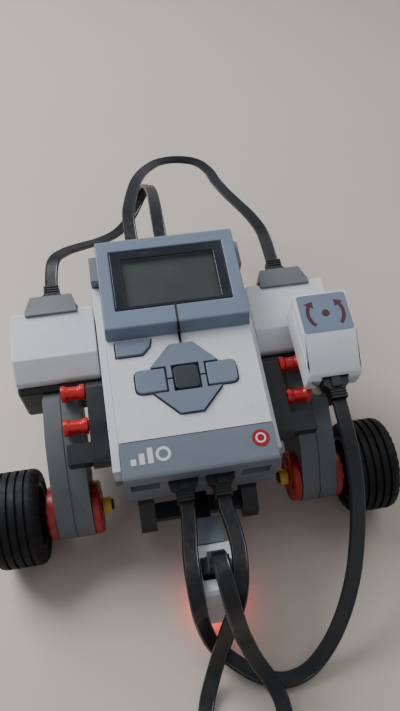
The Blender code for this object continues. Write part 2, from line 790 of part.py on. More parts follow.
def build_wheel(name, side):
    """All that turns with one wheel: red hub, cross axle, half bush, rim and tyre, about the X axis."""
    axle_hole = AXLE_HOLE / 2
    half_arm, half_span = ARM_WIDTH / 2 + GAP, HUB_SPAN / 2
    shaft, flange = HUB_SHAFT_DIAMETER / 2, HUB_DIAMETER / 2
    hub = [
        (-half_span, axle_hole),
        (-half_span, flange - HUB_CHAMFER),
        (-half_span + HUB_CHAMFER, flange),
        (-half_arm, flange),
        (-half_arm, shaft),
        (half_arm, shaft),
        (half_arm, flange),
        (half_span - HUB_CHAMFER, flange),
        (half_span, flange - HUB_CHAMFER),
        (half_span, axle_hole),
    ]
    turned(f"{name}_drive_hub", hub, "red", at=(side * MOTOR_X, 0, 0))
    tyre_inner = HUB_OUTER + TYRE_SPACE
    wheel_middle = side * (tyre_inner + TYRE_WIDTH / 2)
    rib, reach = AXLE_RIB / 2, AXLE_SIZE / 2
    quarter = [(reach, -rib), (reach, rib), (rib, rib)]
    cross = []
    for _ in range(4):
        cross += quarter
        quarter = [(-y, x) for x, y in quarter]
    inner_end = HUB_INNER - GAP - BUSH_LENGTH - AXLE_INNER_REACH
    outer_end = tyre_inner + TYRE_WIDTH - AXLE_OUTER_REACH
    start, end = sorted((side * inner_end, side * outer_end))
    prism(f"{name}_cross_axle", cross, start, end, SIDE_VIEW, "black")
    bush_middle = side * (HUB_INNER - GAP - BUSH_LENGTH / 2)
    half_bush, bush = BUSH_LENGTH / 2, BUSH_DIAMETER / 2
    ring = [(-half_bush, axle_hole), (-half_bush, bush), (half_bush, bush), (half_bush, axle_hole)]
    turned(f"{name}_half_bush", ring, "yellow", at=(bush_middle, 0, 0), steps=20)
    edge, rim = RIM_WIDTH / 2, RIM_DIAMETER / 2
    barrel, boss_end = rim - RIM_BARREL, -edge + RIM_INSET
    half_rim = [
        (-edge, rim),
        (-edge, barrel),
        (-RIM_WEB, barrel),
        (-RIM_WEB, RIM_BOSS),
        (boss_end, RIM_BOSS),
        (boss_end, axle_hole),
    ]
    rim_profile = half_rim + [(-place, radius) for place, radius in reversed(half_rim)]
    turned(f"{name}_rim", rim_profile, "black", at=(wheel_middle, 0, 0))
    wide, bead = TYRE_WIDTH / 2, rim + GAP
    half_tyre = [
        (-wide + 0.6 * MM, bead),
        (-wide, bead + 1 * MM),
        (-wide + 0.3 * MM, WHEEL_RADIUS - 2.2 * MM),
        (-wide + 1.5 * MM, WHEEL_RADIUS - 0.7 * MM),
        (-wide + 3.5 * MM, WHEEL_RADIUS),
    ]
    tyre = half_tyre + [(-place, radius) for place, radius in reversed(half_tyre)]
    turned(f"{name}_tyre", tyre, "rubber", at=(wheel_middle, 0, 0), steps=48)


# ---------------------------------------------------------------- frame, caster and sensors


def build_side_beam(name, side):
    """The black beam between the controller and the motor, with a foot over the arm, and its two pins."""
    middle = side * (CASE_WIDTH / 2 + MODULE / 2)
    half = BEAM / 2
    last = (SIDE_BEAM_HOLES - 1) * MODULE
    outline = arc(half, 90, 270, 6) + arc(half, -90, 90, 6, (last, 0))
    place_at = (0, SIDE_BEAM_START, SIDE_BEAM_Z)
    beam = prism(
        f"{name}_side_beam", outline, middle - half, middle + half, SIDE_VIEW, "black", at=place_at
    )
    reach = sorted((middle, side * (HUB_INNER + FOOT_REACH)))
    foot = box(
        f"{name}_beam_foot",
        (reach[0], SIDE_BEAM_START - 1.5 * MM, SIDE_BEAM_Z - half + 0.45 * MM),
        (reach[1], SIDE_BEAM_START + MODULE - 0.6 * MM, SIDE_BEAM_Z + half - 0.45 * MM),
        home=CUTTERS,
    )
    combine(beam, foot, "UNION")
    for number in range(2, SIDE_BEAM_HOLES):
        hole_at = (middle, SIDE_BEAM_START + number * MODULE, SIDE_BEAM_Z)
        cutter = rod(
            f"{name}_beam_hole_{number}", BEAM_HOLE / 2, -MODULE, MODULE, "", hole_at, "X", CUTTERS, 14
        )
        combine(beam, cutter)
    shank, bush = PIN_DIAMETER / 2, BUSH_DIAMETER / 2
    start = HUB_INNER - GAP - BEAM + 0.4 * MM
    collar = HUB_INNER + GAP
    end = collar + PIN_BUSH_LENGTH
    pin = [
        (start, 0),
        (start, shank),
        (collar, shank),
        (collar, bush),
        (collar + 2 * MM, bush),
        (collar + 3 * MM, bush - 0.7 * MM),
        (end - 3 * MM, bush - 0.7 * MM),
        (end - 2 * MM, bush),
        (end, bush),
        (end, 0),
    ]
    if side < 0:
        pin = [(-place, radius) for place, radius in reversed(pin)]
    for label, number in (("front", 2), ("rear", 4)):
        spot = (0, SIDE_BEAM_START + number * MODULE, SIDE_BEAM_Z)
        turned(f"{name}_{label}_pin", pin, "red", at=spot, steps=20)


def build_front_frame():
    """The black cross beam under the controller's front, with a connector at each side and a bar between."""
    top, deep = CASE_BOTTOM - GAP, BEAM
    frame = box("front_frame", (-4 * MODULE, 0, -FRAME_DROP), (4 * MODULE, deep, BEAM - FRAME_DROP))
    outline = [
        (deep - 0.4 * MM, top),
        (deep - 0.4 * MM, -1.5 * MM),
        (0, -8 * MM),
        (-9 * MM, -12 * MM),
        (-14 * MM, -8 * MM),
        (-13 * MM, -2.5 * MM),
        (-3 * MM, 3 * MM),
        (0.4 * MM, top),
    ]
    for name, side in SIDES:
        start, end = sorted((side * CONNECTOR_X, side * (CONNECTOR_X + BEAM)))
        piece = prism(f"{name}_connector", outline, start, end, SIDE_VIEW, home=CUTTERS)
        combine(frame, piece, "UNION")
    reach = CONNECTOR_X + BEAM / 2
    low, high = CROSS_BAR
    combine(frame, box("cross_bar", (-reach, *low), (reach, *high), home=CUTTERS), "UNION")


def build_caster():
    """A steel ball in a cup under the controller's back, on a mount that reaches up to the battery."""
    half = CASTER_DIAMETER / 2
    mount = box(
        "caster_mount",
        (-half, CASTER_Y - MODULE, CASTER_TOP + GAP),
        (half, CASTER_Y + MODULE, BATTERY_BOTTOM - GAP),
        bevel=1 * MM,
    )
    window = box(
        "mount_window",
        (-MODULE / 2, CASTER_Y - 2 * MODULE, CASTER_TOP + MODULE),
        (MODULE / 2, CASTER_Y + 2 * MODULE, BATTERY_BOTTOM - MODULE),
        home=CUTTERS,
    )
    combine(mount, window)
    low = BALL_Z - CASTER_LIP
    cup_profile = [
        (CASTER_TOP, 0),
        (CASTER_TOP, half),
        (low + 3 * MM, half),
        (low, half - 1.2 * MM),
        (low, 0),
    ]
    cup = turned("caster_cup", cup_profile, "black", at=(0, CASTER_Y, 0), along="Z")
    for name, radius, home in (
        ("ball_seat", BALL_RADIUS + GAP, CUTTERS),
        ("caster_ball", BALL_RADIUS, PARTS),
    ):
        mesh = bpy.data.meshes.new(name)
        shape = bmesh.new()
        bmesh.ops.create_uvsphere(shape, u_segments=28, v_segments=16, radius=radius)
        shape.to_mesh(mesh)
        shape.free()
        ball = place(bpy.data.objects.new(name, mesh), "steel", DECK, home)
        ball.location = (0, CASTER_Y, BALL_Z)
        ball.rotation_euler = (-DECK_TILT, 0, 0)  # a pole of the mesh stands on the floor
        smooth(ball, 60)
        if home is CUTTERS:
            combine(cup, ball)


def build_gyro():
    """The turn-rate sensor over the right motor, and the beam beside the arm that it stands on."""
    half = GYRO_WIDTH / 2
    outline = [
        (GYRO_FRONT, GYRO_BOTTOM),
        (GYRO_FRONT, GYRO_TOP - 10 * MM),
        (GYRO_FRONT + 2 * MM, GYRO_TOP - 7.5 * MM),
        (GYRO_FRONT + GYRO_SLOPE, GYRO_TOP),
        (GYRO_REAR, GYRO_TOP),
        (GYRO_REAR, GYRO_BOTTOM),
    ]
    gyro = prism("gyro_housing", outline, GYRO_X - half, GYRO_X + half, SIDE_VIEW, "white")
    soften(gyro, 0.8 * MM)
    combine(gyro, socket_cutter("gyro_socket", GYRO_X, GYRO_FRONT, GYRO_SOCKET_Z, -1))
    inner = MOTOR_X + ARM_WIDTH / 2 + GAP
    mount = box(
        "gyro_mount",
        (inner, GYRO_FRONT, 9.5 * MM),
        (inner + BEAM, GYRO_FRONT + 2 * MODULE, GYRO_BOTTOM - GAP),
        bevel=1 * MM,
    )
    for number in range(2):
        spot = (inner + BEAM / 2, GYRO_FRONT + MODULE, (16 + 8 * number) * MM)
        cutter = rod(f"mount_hole_{number}", BEAM_HOLE / 2, -MODULE, MODULE, "", spot, "X", CUTTERS, 16)
        combine(mount, cutter)


def build_eye():
    """The colour sensor: it hangs upright in front of the robot and looks straight down at the floor."""
    half = EYE_WIDTH / 2
    housing = box(
        "colour_sensor_housing",
        (-half, EYE_FRONT, EYE_CLEARANCE),
        (half, EYE_BACK, EYE_TOP),
        "white",
        ROBOT,
        bevel=1.5 * MM,
    )
    combine(
        housing,
        box(
            "eye_socket",
            (-SOCKET_WIDTH / 2, EYE_MIDDLE - SOCKET_HEIGHT / 2, EYE_TOP - SOCKET_DEPTH),
            (SOCKET_WIDTH / 2, EYE_MIDDLE + SOCKET_HEIGHT / 2, EYE_TOP + 2 * MM),
            parent=ROBOT,
            home=CUTTERS,
        ),
    )
    lens = EYE_LENS_DIAMETER / 2
    seat = rod(
        "lens_pocket",
        lens + GAP,
        EYE_CLEARANCE - 2 * MM,
        EYE_CLEARANCE + EYE_POCKET,
        "",
        (0, EYE_MIDDLE, 0),
        "Z",
        CUTTERS,
        24,
        ROBOT,
    )
    combine(housing, seat)
    rod(
        "colour_sensor_lens",
        lens,
        EYE_CLEARANCE + EYE_LENS_INSET,
        EYE_CLEARANCE + EYE_POCKET - GAP,
        "red_lens",
        (0, EYE_MIDDLE, 0),
        "Z",
        parent=ROBOT,
    )
    frame_top = BEAM - FRAME_DROP
    frame_y = -frame_top * math.sin(DECK_TILT)
    arm_top = WHEEL_RADIUS + frame_top * math.cos(DECK_TILT)
    arm = box(
        "sensor_arm",
        (-BEAM / 2, EYE_BACK + 2 * GAP, arm_top - BEAM),
        (BEAM / 2, frame_y - GAP, arm_top),
        "black",
        ROBOT,
    )
    across, along = EYE_HEAD
    head = box(
        "sensor_head",
        (-across / 2, EYE_BACK + GAP, arm_top - BEAM - GAP),
        (across / 2, EYE_BACK + GAP + along, EYE_TOP - EYE_HEAD_DROP),
        parent=ROBOT,
        home=CUTTERS,
    )
    combine(arm, head, "UNION")


# ---------------------------------------------------------------- plugs and cables


# A plug's own frame has its mouth at the origin and its cable along +Z
OUT_FRONT = (math.pi / 2, 0, 0)
OUT_BACK = (-math.pi / 2, 0, 0)
OUT_UP = (0, 0, 0)


def build_plug(name, at, turn, parent=DECK):
    """A flat plug: a wide head in the socket and a narrow tail that the cable leaves."""
    head, tail = SOCKET_WIDTH / 2 - GAP, TAIL_WIDTH / 2
    half = [
        (head, -PLUG_IN),
        (head, PLUG_HEAD),
        (tail, PLUG_HEAD + 1.8 * MM),
        (tail, PLUG_TAIL),
    ]
    thick = PLUG_THICKNESS / 2
    plug = prism(name, half + mirrored(half), -thick, thick, FRONT_VIEW, "black", parent)
    plug.location = at
    plug.rotation_euler = turn
    return plug


def smooth_line(points, step, detail=12):
    """The two ends, and between the points next to them an even walk along a smooth curve."""
    ways = [(b - a).normalized() for a, b in zip(points, points[1:])]
    tangents = [ways[0]] + [(a + b).normalized() for a, b in zip(ways, ways[1:])] + [ways[-1]]
    fine = [points[0]]
    for a, b, leave, arrive in zip(points, points[1:], tangents, tangents[1:]):
        reach = (b - a).length / 3
        fine += interpolate_bezier(a, a + leave * reach, b - arrive * reach, b, detail + 1)[1:]
    fine = fine[detail:-detail]
    places = [0.0]
    for a, b in zip(fine, fine[1:]):
        places.append(places[-1] + (b - a).length)
    count = round(places[-1] / step)
    line, spot = [points[0], fine[0]], 0
    for number in range(1, count):
        want = places[-1] * number / count
        while places[spot + 1] < want:
            spot += 1
        part = (want - places[spot]) / (places[spot + 1] - places[spot])
        line.append(fine[spot].lerp(fine[spot + 1], part))
    return line + [fine[-1], points[-1]]


def build_cable(name, first_plug, last_plug):
    """A free cable between two plugs, by its own route."""
    bpy.context.view_layer.update()
    starts = []
    for plug in (first_plug, last_plug):
        tail = plug.matrix_world @ Vector((0, 0, PLUG_TAIL + GAP))
        lead = plug.matrix_world @ Vector((0, 0, PLUG_TAIL + GAP + CORD_LEAD))
        starts.append([tail, lead])
    route = [Vector(point) * MM for point in ROUTES[name]]
    line = smooth_line(starts[0] + route + starts[1][::-1], CORD_STEP)
    curve = bpy.data.curves.new(name, "CURVE")
    curve.dimensions = "3D"
    curve.bevel_depth = CORD_DIAMETER / 2
    curve.bevel_resolution = 2
    curve.use_fill_caps = True
    spline = curve.splines.new("POLY")
    spline.points.add(len(line) - 1)
    for point, place_at in zip(spline.points, line):
        point.co = (*place_at, 1)
    place(bpy.data.objects.new(name, curve), "cable", ROBOT)


def build_cables():
    """Four cables, each with its two plugs: gyro, colour sensor and the two motors."""
    at_gyro = build_plug("plug_at_gyro", (GYRO_X, GYRO_FRONT, GYRO_SOCKET_Z), OUT_FRONT)
    at_eye = build_plug("plug_at_colour_sensor", (0, EYE_MIDDLE, EYE_TOP), OUT_UP, ROBOT)
    for name, socket, far_plug in (("gyro", 1, at_gyro), ("colour_sensor", 2, at_eye)):
        spot = (FRONT_SOCKETS[socket], CASE_FRONT, SOCKET_Z)
        near_plug = build_plug(f"{name}_plug_at_controller", spot, OUT_FRONT)
        build_cable(f"{name}_cable", near_plug, far_plug)
    for (name, side), socket in zip(SIDES, (2, 1)):
        spot = (REAR_SOCKETS[socket], CASE_REAR, SOCKET_Z)
        near_plug = build_plug(f"{name}_plug_at_controller", spot, OUT_BACK)
        far_spot = (side * MOTOR_X, CAP_REAR, MOTOR_SOCKET_Z)
        far_plug = build_plug(f"{name}_plug_at_motor", far_spot, OUT_BACK)
        build_cable(f"{name}_motor_cable", near_plug, far_plug)


def centre_origin():
    """Move the robot so that the origin is on the floor under the middle of its box, cables left out."""
    bpy.context.view_layer.update()
    graph = bpy.context.evaluated_depsgraph_get()
    ends = []
    for made in PARTS.objects:
        if made.type != "MESH" or "plug" in made.name:
            continue
        evaluated = made.evaluated_get(graph)
        mesh = evaluated.to_mesh()
        ends += [(evaluated.matrix_world @ vertex.co).y for vertex in mesh.vertices]
        evaluated.to_mesh_clear()
    ROBOT.location.y = -(min(ends) + max(ends)) / 2


def main():
    build_case()
    build_cover()
    build_display()
    build_keys()
    for name, side in SIDES:
        build_motor(name, side)
        build_wheel(name, side)
        build_side_beam(name, side)
    build_front_frame()
    build_caster()
    build_gyro()
    build_eye()
    build_cables()
    centre_origin()


main()
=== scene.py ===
"""Looks of the line follower robot: refined shells, cables, finishes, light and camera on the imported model.

Sizes inside a class are millimetres in the frame that the class names: the deck's leaning frame, whose
origin is the middle of the wheels' axis, or the floor's frame, whose origin is the floor below that axis.
"""

import logging
import math
from dataclasses import dataclass, field
from enum import Enum
from typing import Callable, Iterable, Sequence

import bmesh
import bpy
from mathutils import Matrix, Vector
from mathutils.geometry import interpolate_bezier


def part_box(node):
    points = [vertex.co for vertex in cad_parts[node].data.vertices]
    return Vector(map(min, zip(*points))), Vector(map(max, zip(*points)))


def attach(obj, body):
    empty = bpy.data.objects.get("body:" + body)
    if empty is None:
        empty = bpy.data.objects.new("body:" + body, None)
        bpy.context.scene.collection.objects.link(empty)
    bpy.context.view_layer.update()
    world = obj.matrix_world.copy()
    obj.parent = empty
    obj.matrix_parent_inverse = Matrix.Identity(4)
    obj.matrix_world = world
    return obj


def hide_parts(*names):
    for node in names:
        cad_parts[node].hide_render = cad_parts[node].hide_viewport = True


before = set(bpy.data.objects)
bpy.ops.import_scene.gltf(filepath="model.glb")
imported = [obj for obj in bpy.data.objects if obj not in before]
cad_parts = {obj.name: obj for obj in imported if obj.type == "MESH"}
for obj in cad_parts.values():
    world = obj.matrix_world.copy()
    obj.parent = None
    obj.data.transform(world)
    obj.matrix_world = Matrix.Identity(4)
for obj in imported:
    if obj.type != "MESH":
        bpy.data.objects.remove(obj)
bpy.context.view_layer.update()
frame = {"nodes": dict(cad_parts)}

LOG = logging.getLogger("line_follower_robot")
MM = 0.001
DECK_TILT = math.radians(15)
Colour = tuple[float, float, float]
Point2 = tuple[float, float]
Point3 = tuple[float, float, float]


class Side(Enum):
    """The robot's two sides, as the sign of X."""

    LEFT = -1
    RIGHT = 1

    @property
    def label(self) -> str:
        """The side's word in node names."""
        return self.name.lower()


class Along(Enum):
    """The axis that a prism's thickness or a turned piece's middle runs along."""

    X = "X"
    Y = "Y"
    Z = "Z"


# An outline drawn as two coordinates becomes (y, z), (x, z) or (x, y) of the frame
TURNED_TO = {
    Along.X: Matrix(((0, 0, 1, 0), (1, 0, 0, 0), (0, 1, 0, 0), (0, 0, 0, 1))),
    Along.Y: Matrix(((1, 0, 0, 0), (0, 0, -1, 0), (0, 1, 0, 0), (0, 0, 0, 1))),
    Along.Z: Matrix.Identity(4),
}


# ---------------------------------------------------------------- frames


def wheel_axis() -> Vector:
    """Find the middle of the wheels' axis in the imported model.

    Returns:
        The point half way between the two tyres' middles, in metres.
    """
    corners = [corner for name in ("left_tyre", "right_tyre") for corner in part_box(name)]
    return sum(corners, Vector()) / len(corners)


AXIS = wheel_axis()
DECK = Matrix.Translation(AXIS) @ Matrix.Rotation(DECK_TILT, 4, "X")
FLOOR = Matrix.Translation((AXIS.x, AXIS.y, 0))
IN_METRES = Matrix.Scale(1 / MM, 4)


# ---------------------------------------------------------------- finishes


class Painter:
    """Adds and joins the nodes of one material."""

    def __init__(self, name: str) -> None:
        """Start a material.

        Args:
            name: the material's name.
        """
        self.material = bpy.data.materials.new(name)
        self.material.use_nodes = True
        self.nodes = self.material.node_tree.nodes
        self.links = self.material.node_tree.links
        self.surface = self.nodes["Principled BSDF"]
        self.where = self.nodes.new("ShaderNodeTexCoord").outputs["Object"]

    def value(self, socket: str, value: float | Sequence[float]) -> None:
        """Set one of the surface's sockets.

        Args:
            socket: the socket's name.
            value: its value.
        """
        self.surface.inputs[socket].default_value = value

    def join(self, source: bpy.types.NodeSocket, socket: str) -> None:
        """Feed one of the surface's sockets.

        Args:
            source: the socket that feeds it.
            socket: the fed socket's name.
        """
        self.links.new(source, self.surface.inputs[socket])

    def noise(self, scale: float, detail: float = 4.0, stretch: Point3 = (1, 1, 1)) -> bpy.types.NodeSocket:
        """Add a noise in the piece's own space.

        Args:
            scale: features per metre.
            detail: octaves.
            stretch: how much denser it is along each axis.

        Returns:
            The noise's value, from 0 to 1.
        """
        mapping = self.nodes.new("ShaderNodeMapping")
        mapping.inputs["Scale"].default_value = stretch
        self.links.new(self.where, mapping.inputs["Vector"])
        noise = self.nodes.new("ShaderNodeTexNoise")
        noise.inputs["Scale"].default_value = scale
        noise.inputs["Detail"].default_value = detail
        self.links.new(mapping.outputs["Vector"], noise.inputs["Vector"])
        return noise.outputs["Fac"]

    def spread(self, source: bpy.types.NodeSocket, low: float, high: float, start: float = 0.3,
               end: float = 0.7) -> bpy.types.NodeSocket:
        """Map a noise to a range of values.

        Args:
            source: the noise.
            low: the result at start.
            high: the result at end.
            start: the noise's value that gives low.
            end: the noise's value that gives high.

        Returns:
            The mapped value.
        """
        spread = self.nodes.new("ShaderNodeMapRange")
        for socket, value in (("From Min", start), ("From Max", end), ("To Min", low), ("To Max", high)):
            spread.inputs[socket].default_value = value
        self.links.new(source, spread.inputs["Value"])
        return spread.outputs["Result"]

    def blend(self, amount: bpy.types.NodeSocket, first: Colour | bpy.types.NodeSocket,
              second: Colour) -> bpy.types.NodeSocket:
        """Mix two colours.

        Args:
            amount: how much of the second.
            first: a colour or a colour socket.
            second: a colour.

        Returns:
            The mixed colour.
        """
        mix = self.nodes.new("ShaderNodeMix")
        mix.data_type = "RGBA"
        self.links.new(amount, mix.inputs["Factor"])
        if isinstance(first, bpy.types.NodeSocket):
            self.links.new(first, mix.inputs["A"])
        else:
            mix.inputs["A"].default_value = (*first, 1)
        mix.inputs["B"].default_value = (*second, 1)
        return mix.outputs["Result"]

    def add(self, first: bpy.types.NodeSocket, second: bpy.types.NodeSocket) -> bpy.types.NodeSocket:
        """Add two values.

        Args:
            first: one value.
            second: the other.

        Returns:
            Their sum.
        """
        add = self.nodes.new("ShaderNodeMath")
        add.operation = "ADD"
        self.links.new(first, add.inputs[0])
        self.links.new(second, add.inputs[1])
        return add.outputs["Value"]

    def relief(self, height: bpy.types.NodeSocket, strength: float, depth: float) -> None:
        """Bump the surface.

        Args:
            height: the relief, from 0 to 1.
            strength: how strongly it shows.
            depth: the relief's height in metres.
        """
        bump = self.nodes.new("ShaderNodeBump")
        bump.inputs["Strength"].default_value = strength
        bump.inputs["Distance"].default_value = depth
        self.links.new(height, bump.inputs["Height"])
        self.join(bump.outputs["Normal"], "Normal")


def shade(colour: Colour, factor: float) -> Colour:
    """Lighten or darken a colour.

    Args:
        colour: a linear colour.
        factor: what to multiply it by.

    Returns:
        The new colour, no brighter than white.
    """
    return tuple(min(1.0, part * factor) for part in colour)


@dataclass(frozen=True)
class Moulded:
    """A moulded plastic: faint flow mottling, a fine grain, rubbed spots and hairline scratches."""

    name: str
    slot: str
    colour: Colour
    roughness: float = 0.42
    grain: float = 0.06
    mottling: float = 0.05
    coat: float = 0.0

    def material(self) -> bpy.types.Material:
        """Make the material.

        Returns:
            The new material.
        """
        paint = Painter(self.name)
        flow = paint.spread(paint.noise(38, 5), 0, 1)
        tone = paint.blend(flow, shade(self.colour, 1 - self.mottling), shade(self.colour, 1 + self.mottling))
        grime = paint.spread(paint.noise(170, 7), 0, 0.55, 0.58, 0.82)
        paint.join(paint.blend(grime, tone, shade(self.colour, 0.8)), "Base Color")
        rubbed = paint.spread(paint.noise(85, 6), self.roughness - 0.08, self.roughness + 0.1)
        scratches = paint.spread(paint.noise(60, 9, (1, 26, 1)), 0, 0.14, 0.62, 0.7)
        paint.join(paint.add(rubbed, scratches), "Roughness")
        paint.relief(paint.add(paint.noise(2600, 2), scratches), self.grain, 0.0002)
        paint.value("Specular IOR Level", 0.5)
        paint.value("Coat Weight", self.coat)
        paint.value("Coat Roughness", 0.12)
        return paint.material


@dataclass(frozen=True)
class Rubber:
    """Tyre rubber: matt, with a powdery bloom where it rolls and a fine pitted skin."""

    name: str
    slot: str
    colour: Colour
    bloom: Colour = (0.012, 0.012, 0.014)

    def material(self) -> bpy.types.Material:
        """Make the material.

        Returns:
            The new material.
        """
        paint = Painter(self.name)
        dust = paint.spread(paint.noise(120, 8), 0, 0.6, 0.42, 0.75)
        paint.join(paint.blend(dust, self.colour, self.bloom), "Base Color")
        paint.join(paint.spread(paint.noise(220, 5), 0.48, 0.72), "Roughness")
        paint.relief(paint.noise(1700, 4), 0.25, 0.0003)
        paint.value("Specular IOR Level", 0.3)
        return paint.material


@dataclass(frozen=True)
class Jacket:
    """The cables' flexible jacket: near black with a cool sheen and faint drawn marks along it."""

    name: str
    slot: str
    colour: Colour
    sheen: Colour = (0.30, 0.38, 0.55)

    def material(self) -> bpy.types.Material:
        """Make the material.

        Returns:
            The new material.
        """
        paint = Painter(self.name)
        tone = paint.spread(paint.noise(90, 6), 0, 1)
        paint.join(paint.blend(tone, shade(self.colour, 0.75), shade(self.colour, 1.4)), "Base Color")
        paint.join(paint.spread(paint.noise(420, 5), 0.27, 0.46), "Roughness")
        paint.relief(paint.noise(2200, 3), 0.08, 0.0002)
        paint.value("Specular IOR Level", 0.6)
        paint.value("Sheen Weight", 0.05)
        paint.value("Sheen Tint", (*self.sheen, 1))
        return paint.material


@dataclass(frozen=True)
class Metal:
    """Bare metal: polished, with a hint of turning marks and handling haze."""

    name: str
    slot: str
    colour: Colour
    roughness: float = 0.14

    def material(self) -> bpy.types.Material:
        """Make the material.

        Returns:
            The new material.
        """
        paint = Painter(self.name)
        haze = paint.spread(paint.noise(150, 6), 0, 1)
        paint.join(paint.blend(haze, shade(self.colour, 0.88), self.colour), "Base Color")
        turning = paint.noise(300, 6, (1, 1, 9))
        paint.join(paint.spread(turning, self.roughness, self.roughness + 0.16), "Roughness")
        paint.relief(paint.noise(1500, 3, (1, 1, 12)), 0.05, 0.0001)
        paint.value("Metallic", 1.0)
        return paint.material


@dataclass(frozen=True)
class Window:
    """A clear or tinted window: thin, glossy and slightly smudged."""

    name: str
    slot: str
    colour: Colour
    cover: float = 0.16

    def material(self) -> bpy.types.Material:
        """Make the material.

        Returns:
            The new material.
        """
        paint = Painter(self.name)
        smudge = paint.spread(paint.noise(70, 7), 0, 1, 0.45, 0.8)
        paint.join(paint.blend(smudge, self.colour, shade(self.colour, 1.7)), "Base Color")
        paint.join(paint.spread(paint.noise(160, 6), 0.08, 0.24), "Roughness")
        paint.value("Alpha", self.cover)
        paint.value("Specular IOR Level", 0.8)
        return paint.material


@dataclass(frozen=True)
class Panel:
    """A reflective display with its cell grid, unlit."""

    name: str
    slot: str
    colour: Colour
    cell: float = 0.24

    def material(self) -> bpy.types.Material:
        """Make the material.

        Returns:
            The new material.
        """
        paint = Painter(self.name)
        tone = paint.spread(paint.noise(28, 4), 0, 1)
        paint.join(paint.blend(tone, shade(self.colour, 0.9), shade(self.colour, 1.12)), "Base Color")
        cells = paint.nodes.new("ShaderNodeTexBrick")
        cells.offset = 0.0
        cells.inputs["Scale"].default_value = 1 / (self.cell * MM)
        cells.inputs["Mortar Size"].default_value = 0.08
        cells.inputs["Brick Width"].default_value = 1.0
        cells.inputs["Row Height"].default_value = 1.0
        paint.links.new(paint.where, cells.inputs["Vector"])
        paint.relief(cells.outputs["Fac"], 0.1, 0.00005)
        paint.join(paint.spread(paint.noise(200, 5), 0.28, 0.4), "Roughness")
        paint.value("Coat Weight", 0.25)
        paint.value("Coat Roughness", 0.1)
        return paint.material


@dataclass(frozen=True)
class Lamp:
    """The colour sensor's lit window: a saturated red that is brighter in its middle grain."""

    name: str
    slot: str
    colour: Colour
    strength: float = 13.0

    def material(self) -> bpy.types.Material:
        """Make the material.

        Returns:
            The new material.
        """
        paint = Painter(self.name)
        ripple = paint.spread(paint.noise(500, 4), 0, 1)
        glow = paint.blend(ripple, shade(self.colour, 0.85), self.colour)
        paint.join(glow, "Base Color")
        paint.join(glow, "Emission Color")
        paint.join(paint.spread(paint.noise(240, 4), 0.15, 0.3), "Roughness")
        paint.value("Emission Strength", self.strength)
        return paint.material


Finish = Moulded | Rubber | Jacket | Metal | Window | Panel | Lamp


@dataclass(frozen=True)
class FinishSet:
    """Every finish of the robot."""

    shell_white: Moulded = Moulded("shell_white", "white", (0.66, 0.67, 0.69), 0.40, 0.05, 0.03)
    case_grey: Moulded = Moulded("case_grey", "light_grey", (0.150, 0.178, 0.215), 0.45)
    bezel_grey: Moulded = Moulded("bezel_blue_grey", "display_grey", (0.157, 0.20, 0.275), 0.5, 0.1)
    key_grey: Moulded = Moulded("key_grey", "light_grey", (0.155, 0.19, 0.25), 0.5, 0.08)
    key_dark: Moulded = Moulded("key_dark", "dark_grey", (0.024, 0.033, 0.042), 0.5, 0.08)
    motor_grey: Moulded = Moulded("motor_grey", "light_grey", (0.118, 0.130, 0.142), 0.48)
    motor_dark: Moulded = Moulded("motor_dark_grey", "dark_grey", (0.020, 0.020, 0.021), 0.5, 0.08)
    beam_black: Moulded = Moulded("beam_black", "black", (0.012, 0.012, 0.014), 0.38)
    plug_black: Moulded = Moulded("plug_black", "black", (0.014, 0.014, 0.017), 0.32, 0.04)
    # Near black: painted shade for the strip in front of the display, and the real black of the colour
    # sensor's eye ring.
    gap_black: Moulded = Moulded("gap_black", "black", (0.012, 0.013, 0.015), 0.6)
    border_black: Moulded = Moulded("screen_border", "glass", (0.011, 0.014, 0.018), 0.2, 0.01, 0.04, 0.5)
    pin_red: Moulded = Moulded("pin_red", "red", (0.52, 0.008, 0.008), 0.28, 0.03, 0.06, 0.2)
    hub_red: Moulded = Moulded("hub_red", "red", (0.36, 0.008, 0.008), 0.34, 0.03, 0.06, 0.1)
    badge_red: Moulded = Moulded("badge_red", "red", (0.33, 0.012, 0.016), 0.35, 0.02)
    arrow_red: Moulded = Moulded("arrow_red", "red", (0.075, 0.01, 0.025), 0.4, 0.02)
    print_white: Moulded = Moulded("print_white", "white", (0.62, 0.64, 0.66), 0.5, 0.02)
    bush_yellow: Moulded = Moulded("bush_yellow", "yellow", (0.62, 0.36, 0.03), 0.36, 0.04)
    pin_tan: Moulded = Moulded("pin_tan", "yellow", (0.42, 0.36, 0.24), 0.4, 0.04)
    board_green: Moulded = Moulded("board_green", "board", (0.02, 0.12, 0.05), 0.45, 0.1, 0.1)
    tyre: Rubber = Rubber("tyre_rubber", "tyre", (0.0035, 0.0035, 0.004))
    cable: Jacket = Jacket("cable_jacket", "cable", (0.0035, 0.004, 0.0055))
    steel: Metal = Metal("polished_steel", "steel", (0.62, 0.62, 0.64))
    contact: Metal = Metal("gold_contact", "steel", (0.75, 0.55, 0.25), 0.2)
    window: Window = Window("clear_window", "glass", (0.03, 0.035, 0.04))
    screen: Panel = Panel("display_panel", "lcd", (0.078, 0.095, 0.084))
    lamp: Lamp = Lamp("red_sensor_window", "sensor_window", (0.9, 0.03, 0.012))


FINISHES = FinishSet()
MATERIALS: dict[str, bpy.types.Material] = {}


def material_of(finish: Finish) -> bpy.types.Material:
    """Give a finish's material, made once.

    Args:
        finish: the finish.

    Returns:
        Its material.
    """
    if finish.name not in MATERIALS:
        MATERIALS[finish.name] = finish.material()
    return MATERIALS[finish.name]


# ---------------------------------------------------------------- shapes


def mirrored(outline: Sequence[Point2]) -> list[Point2]:
    """Reflect an outline about its second axis, so that it reads on round the shape.

    Args:
        outline: points in order.

    Returns:
        The reflected points, in reverse order.
    """
    return [(-across, up) for across, up in reversed(outline)]


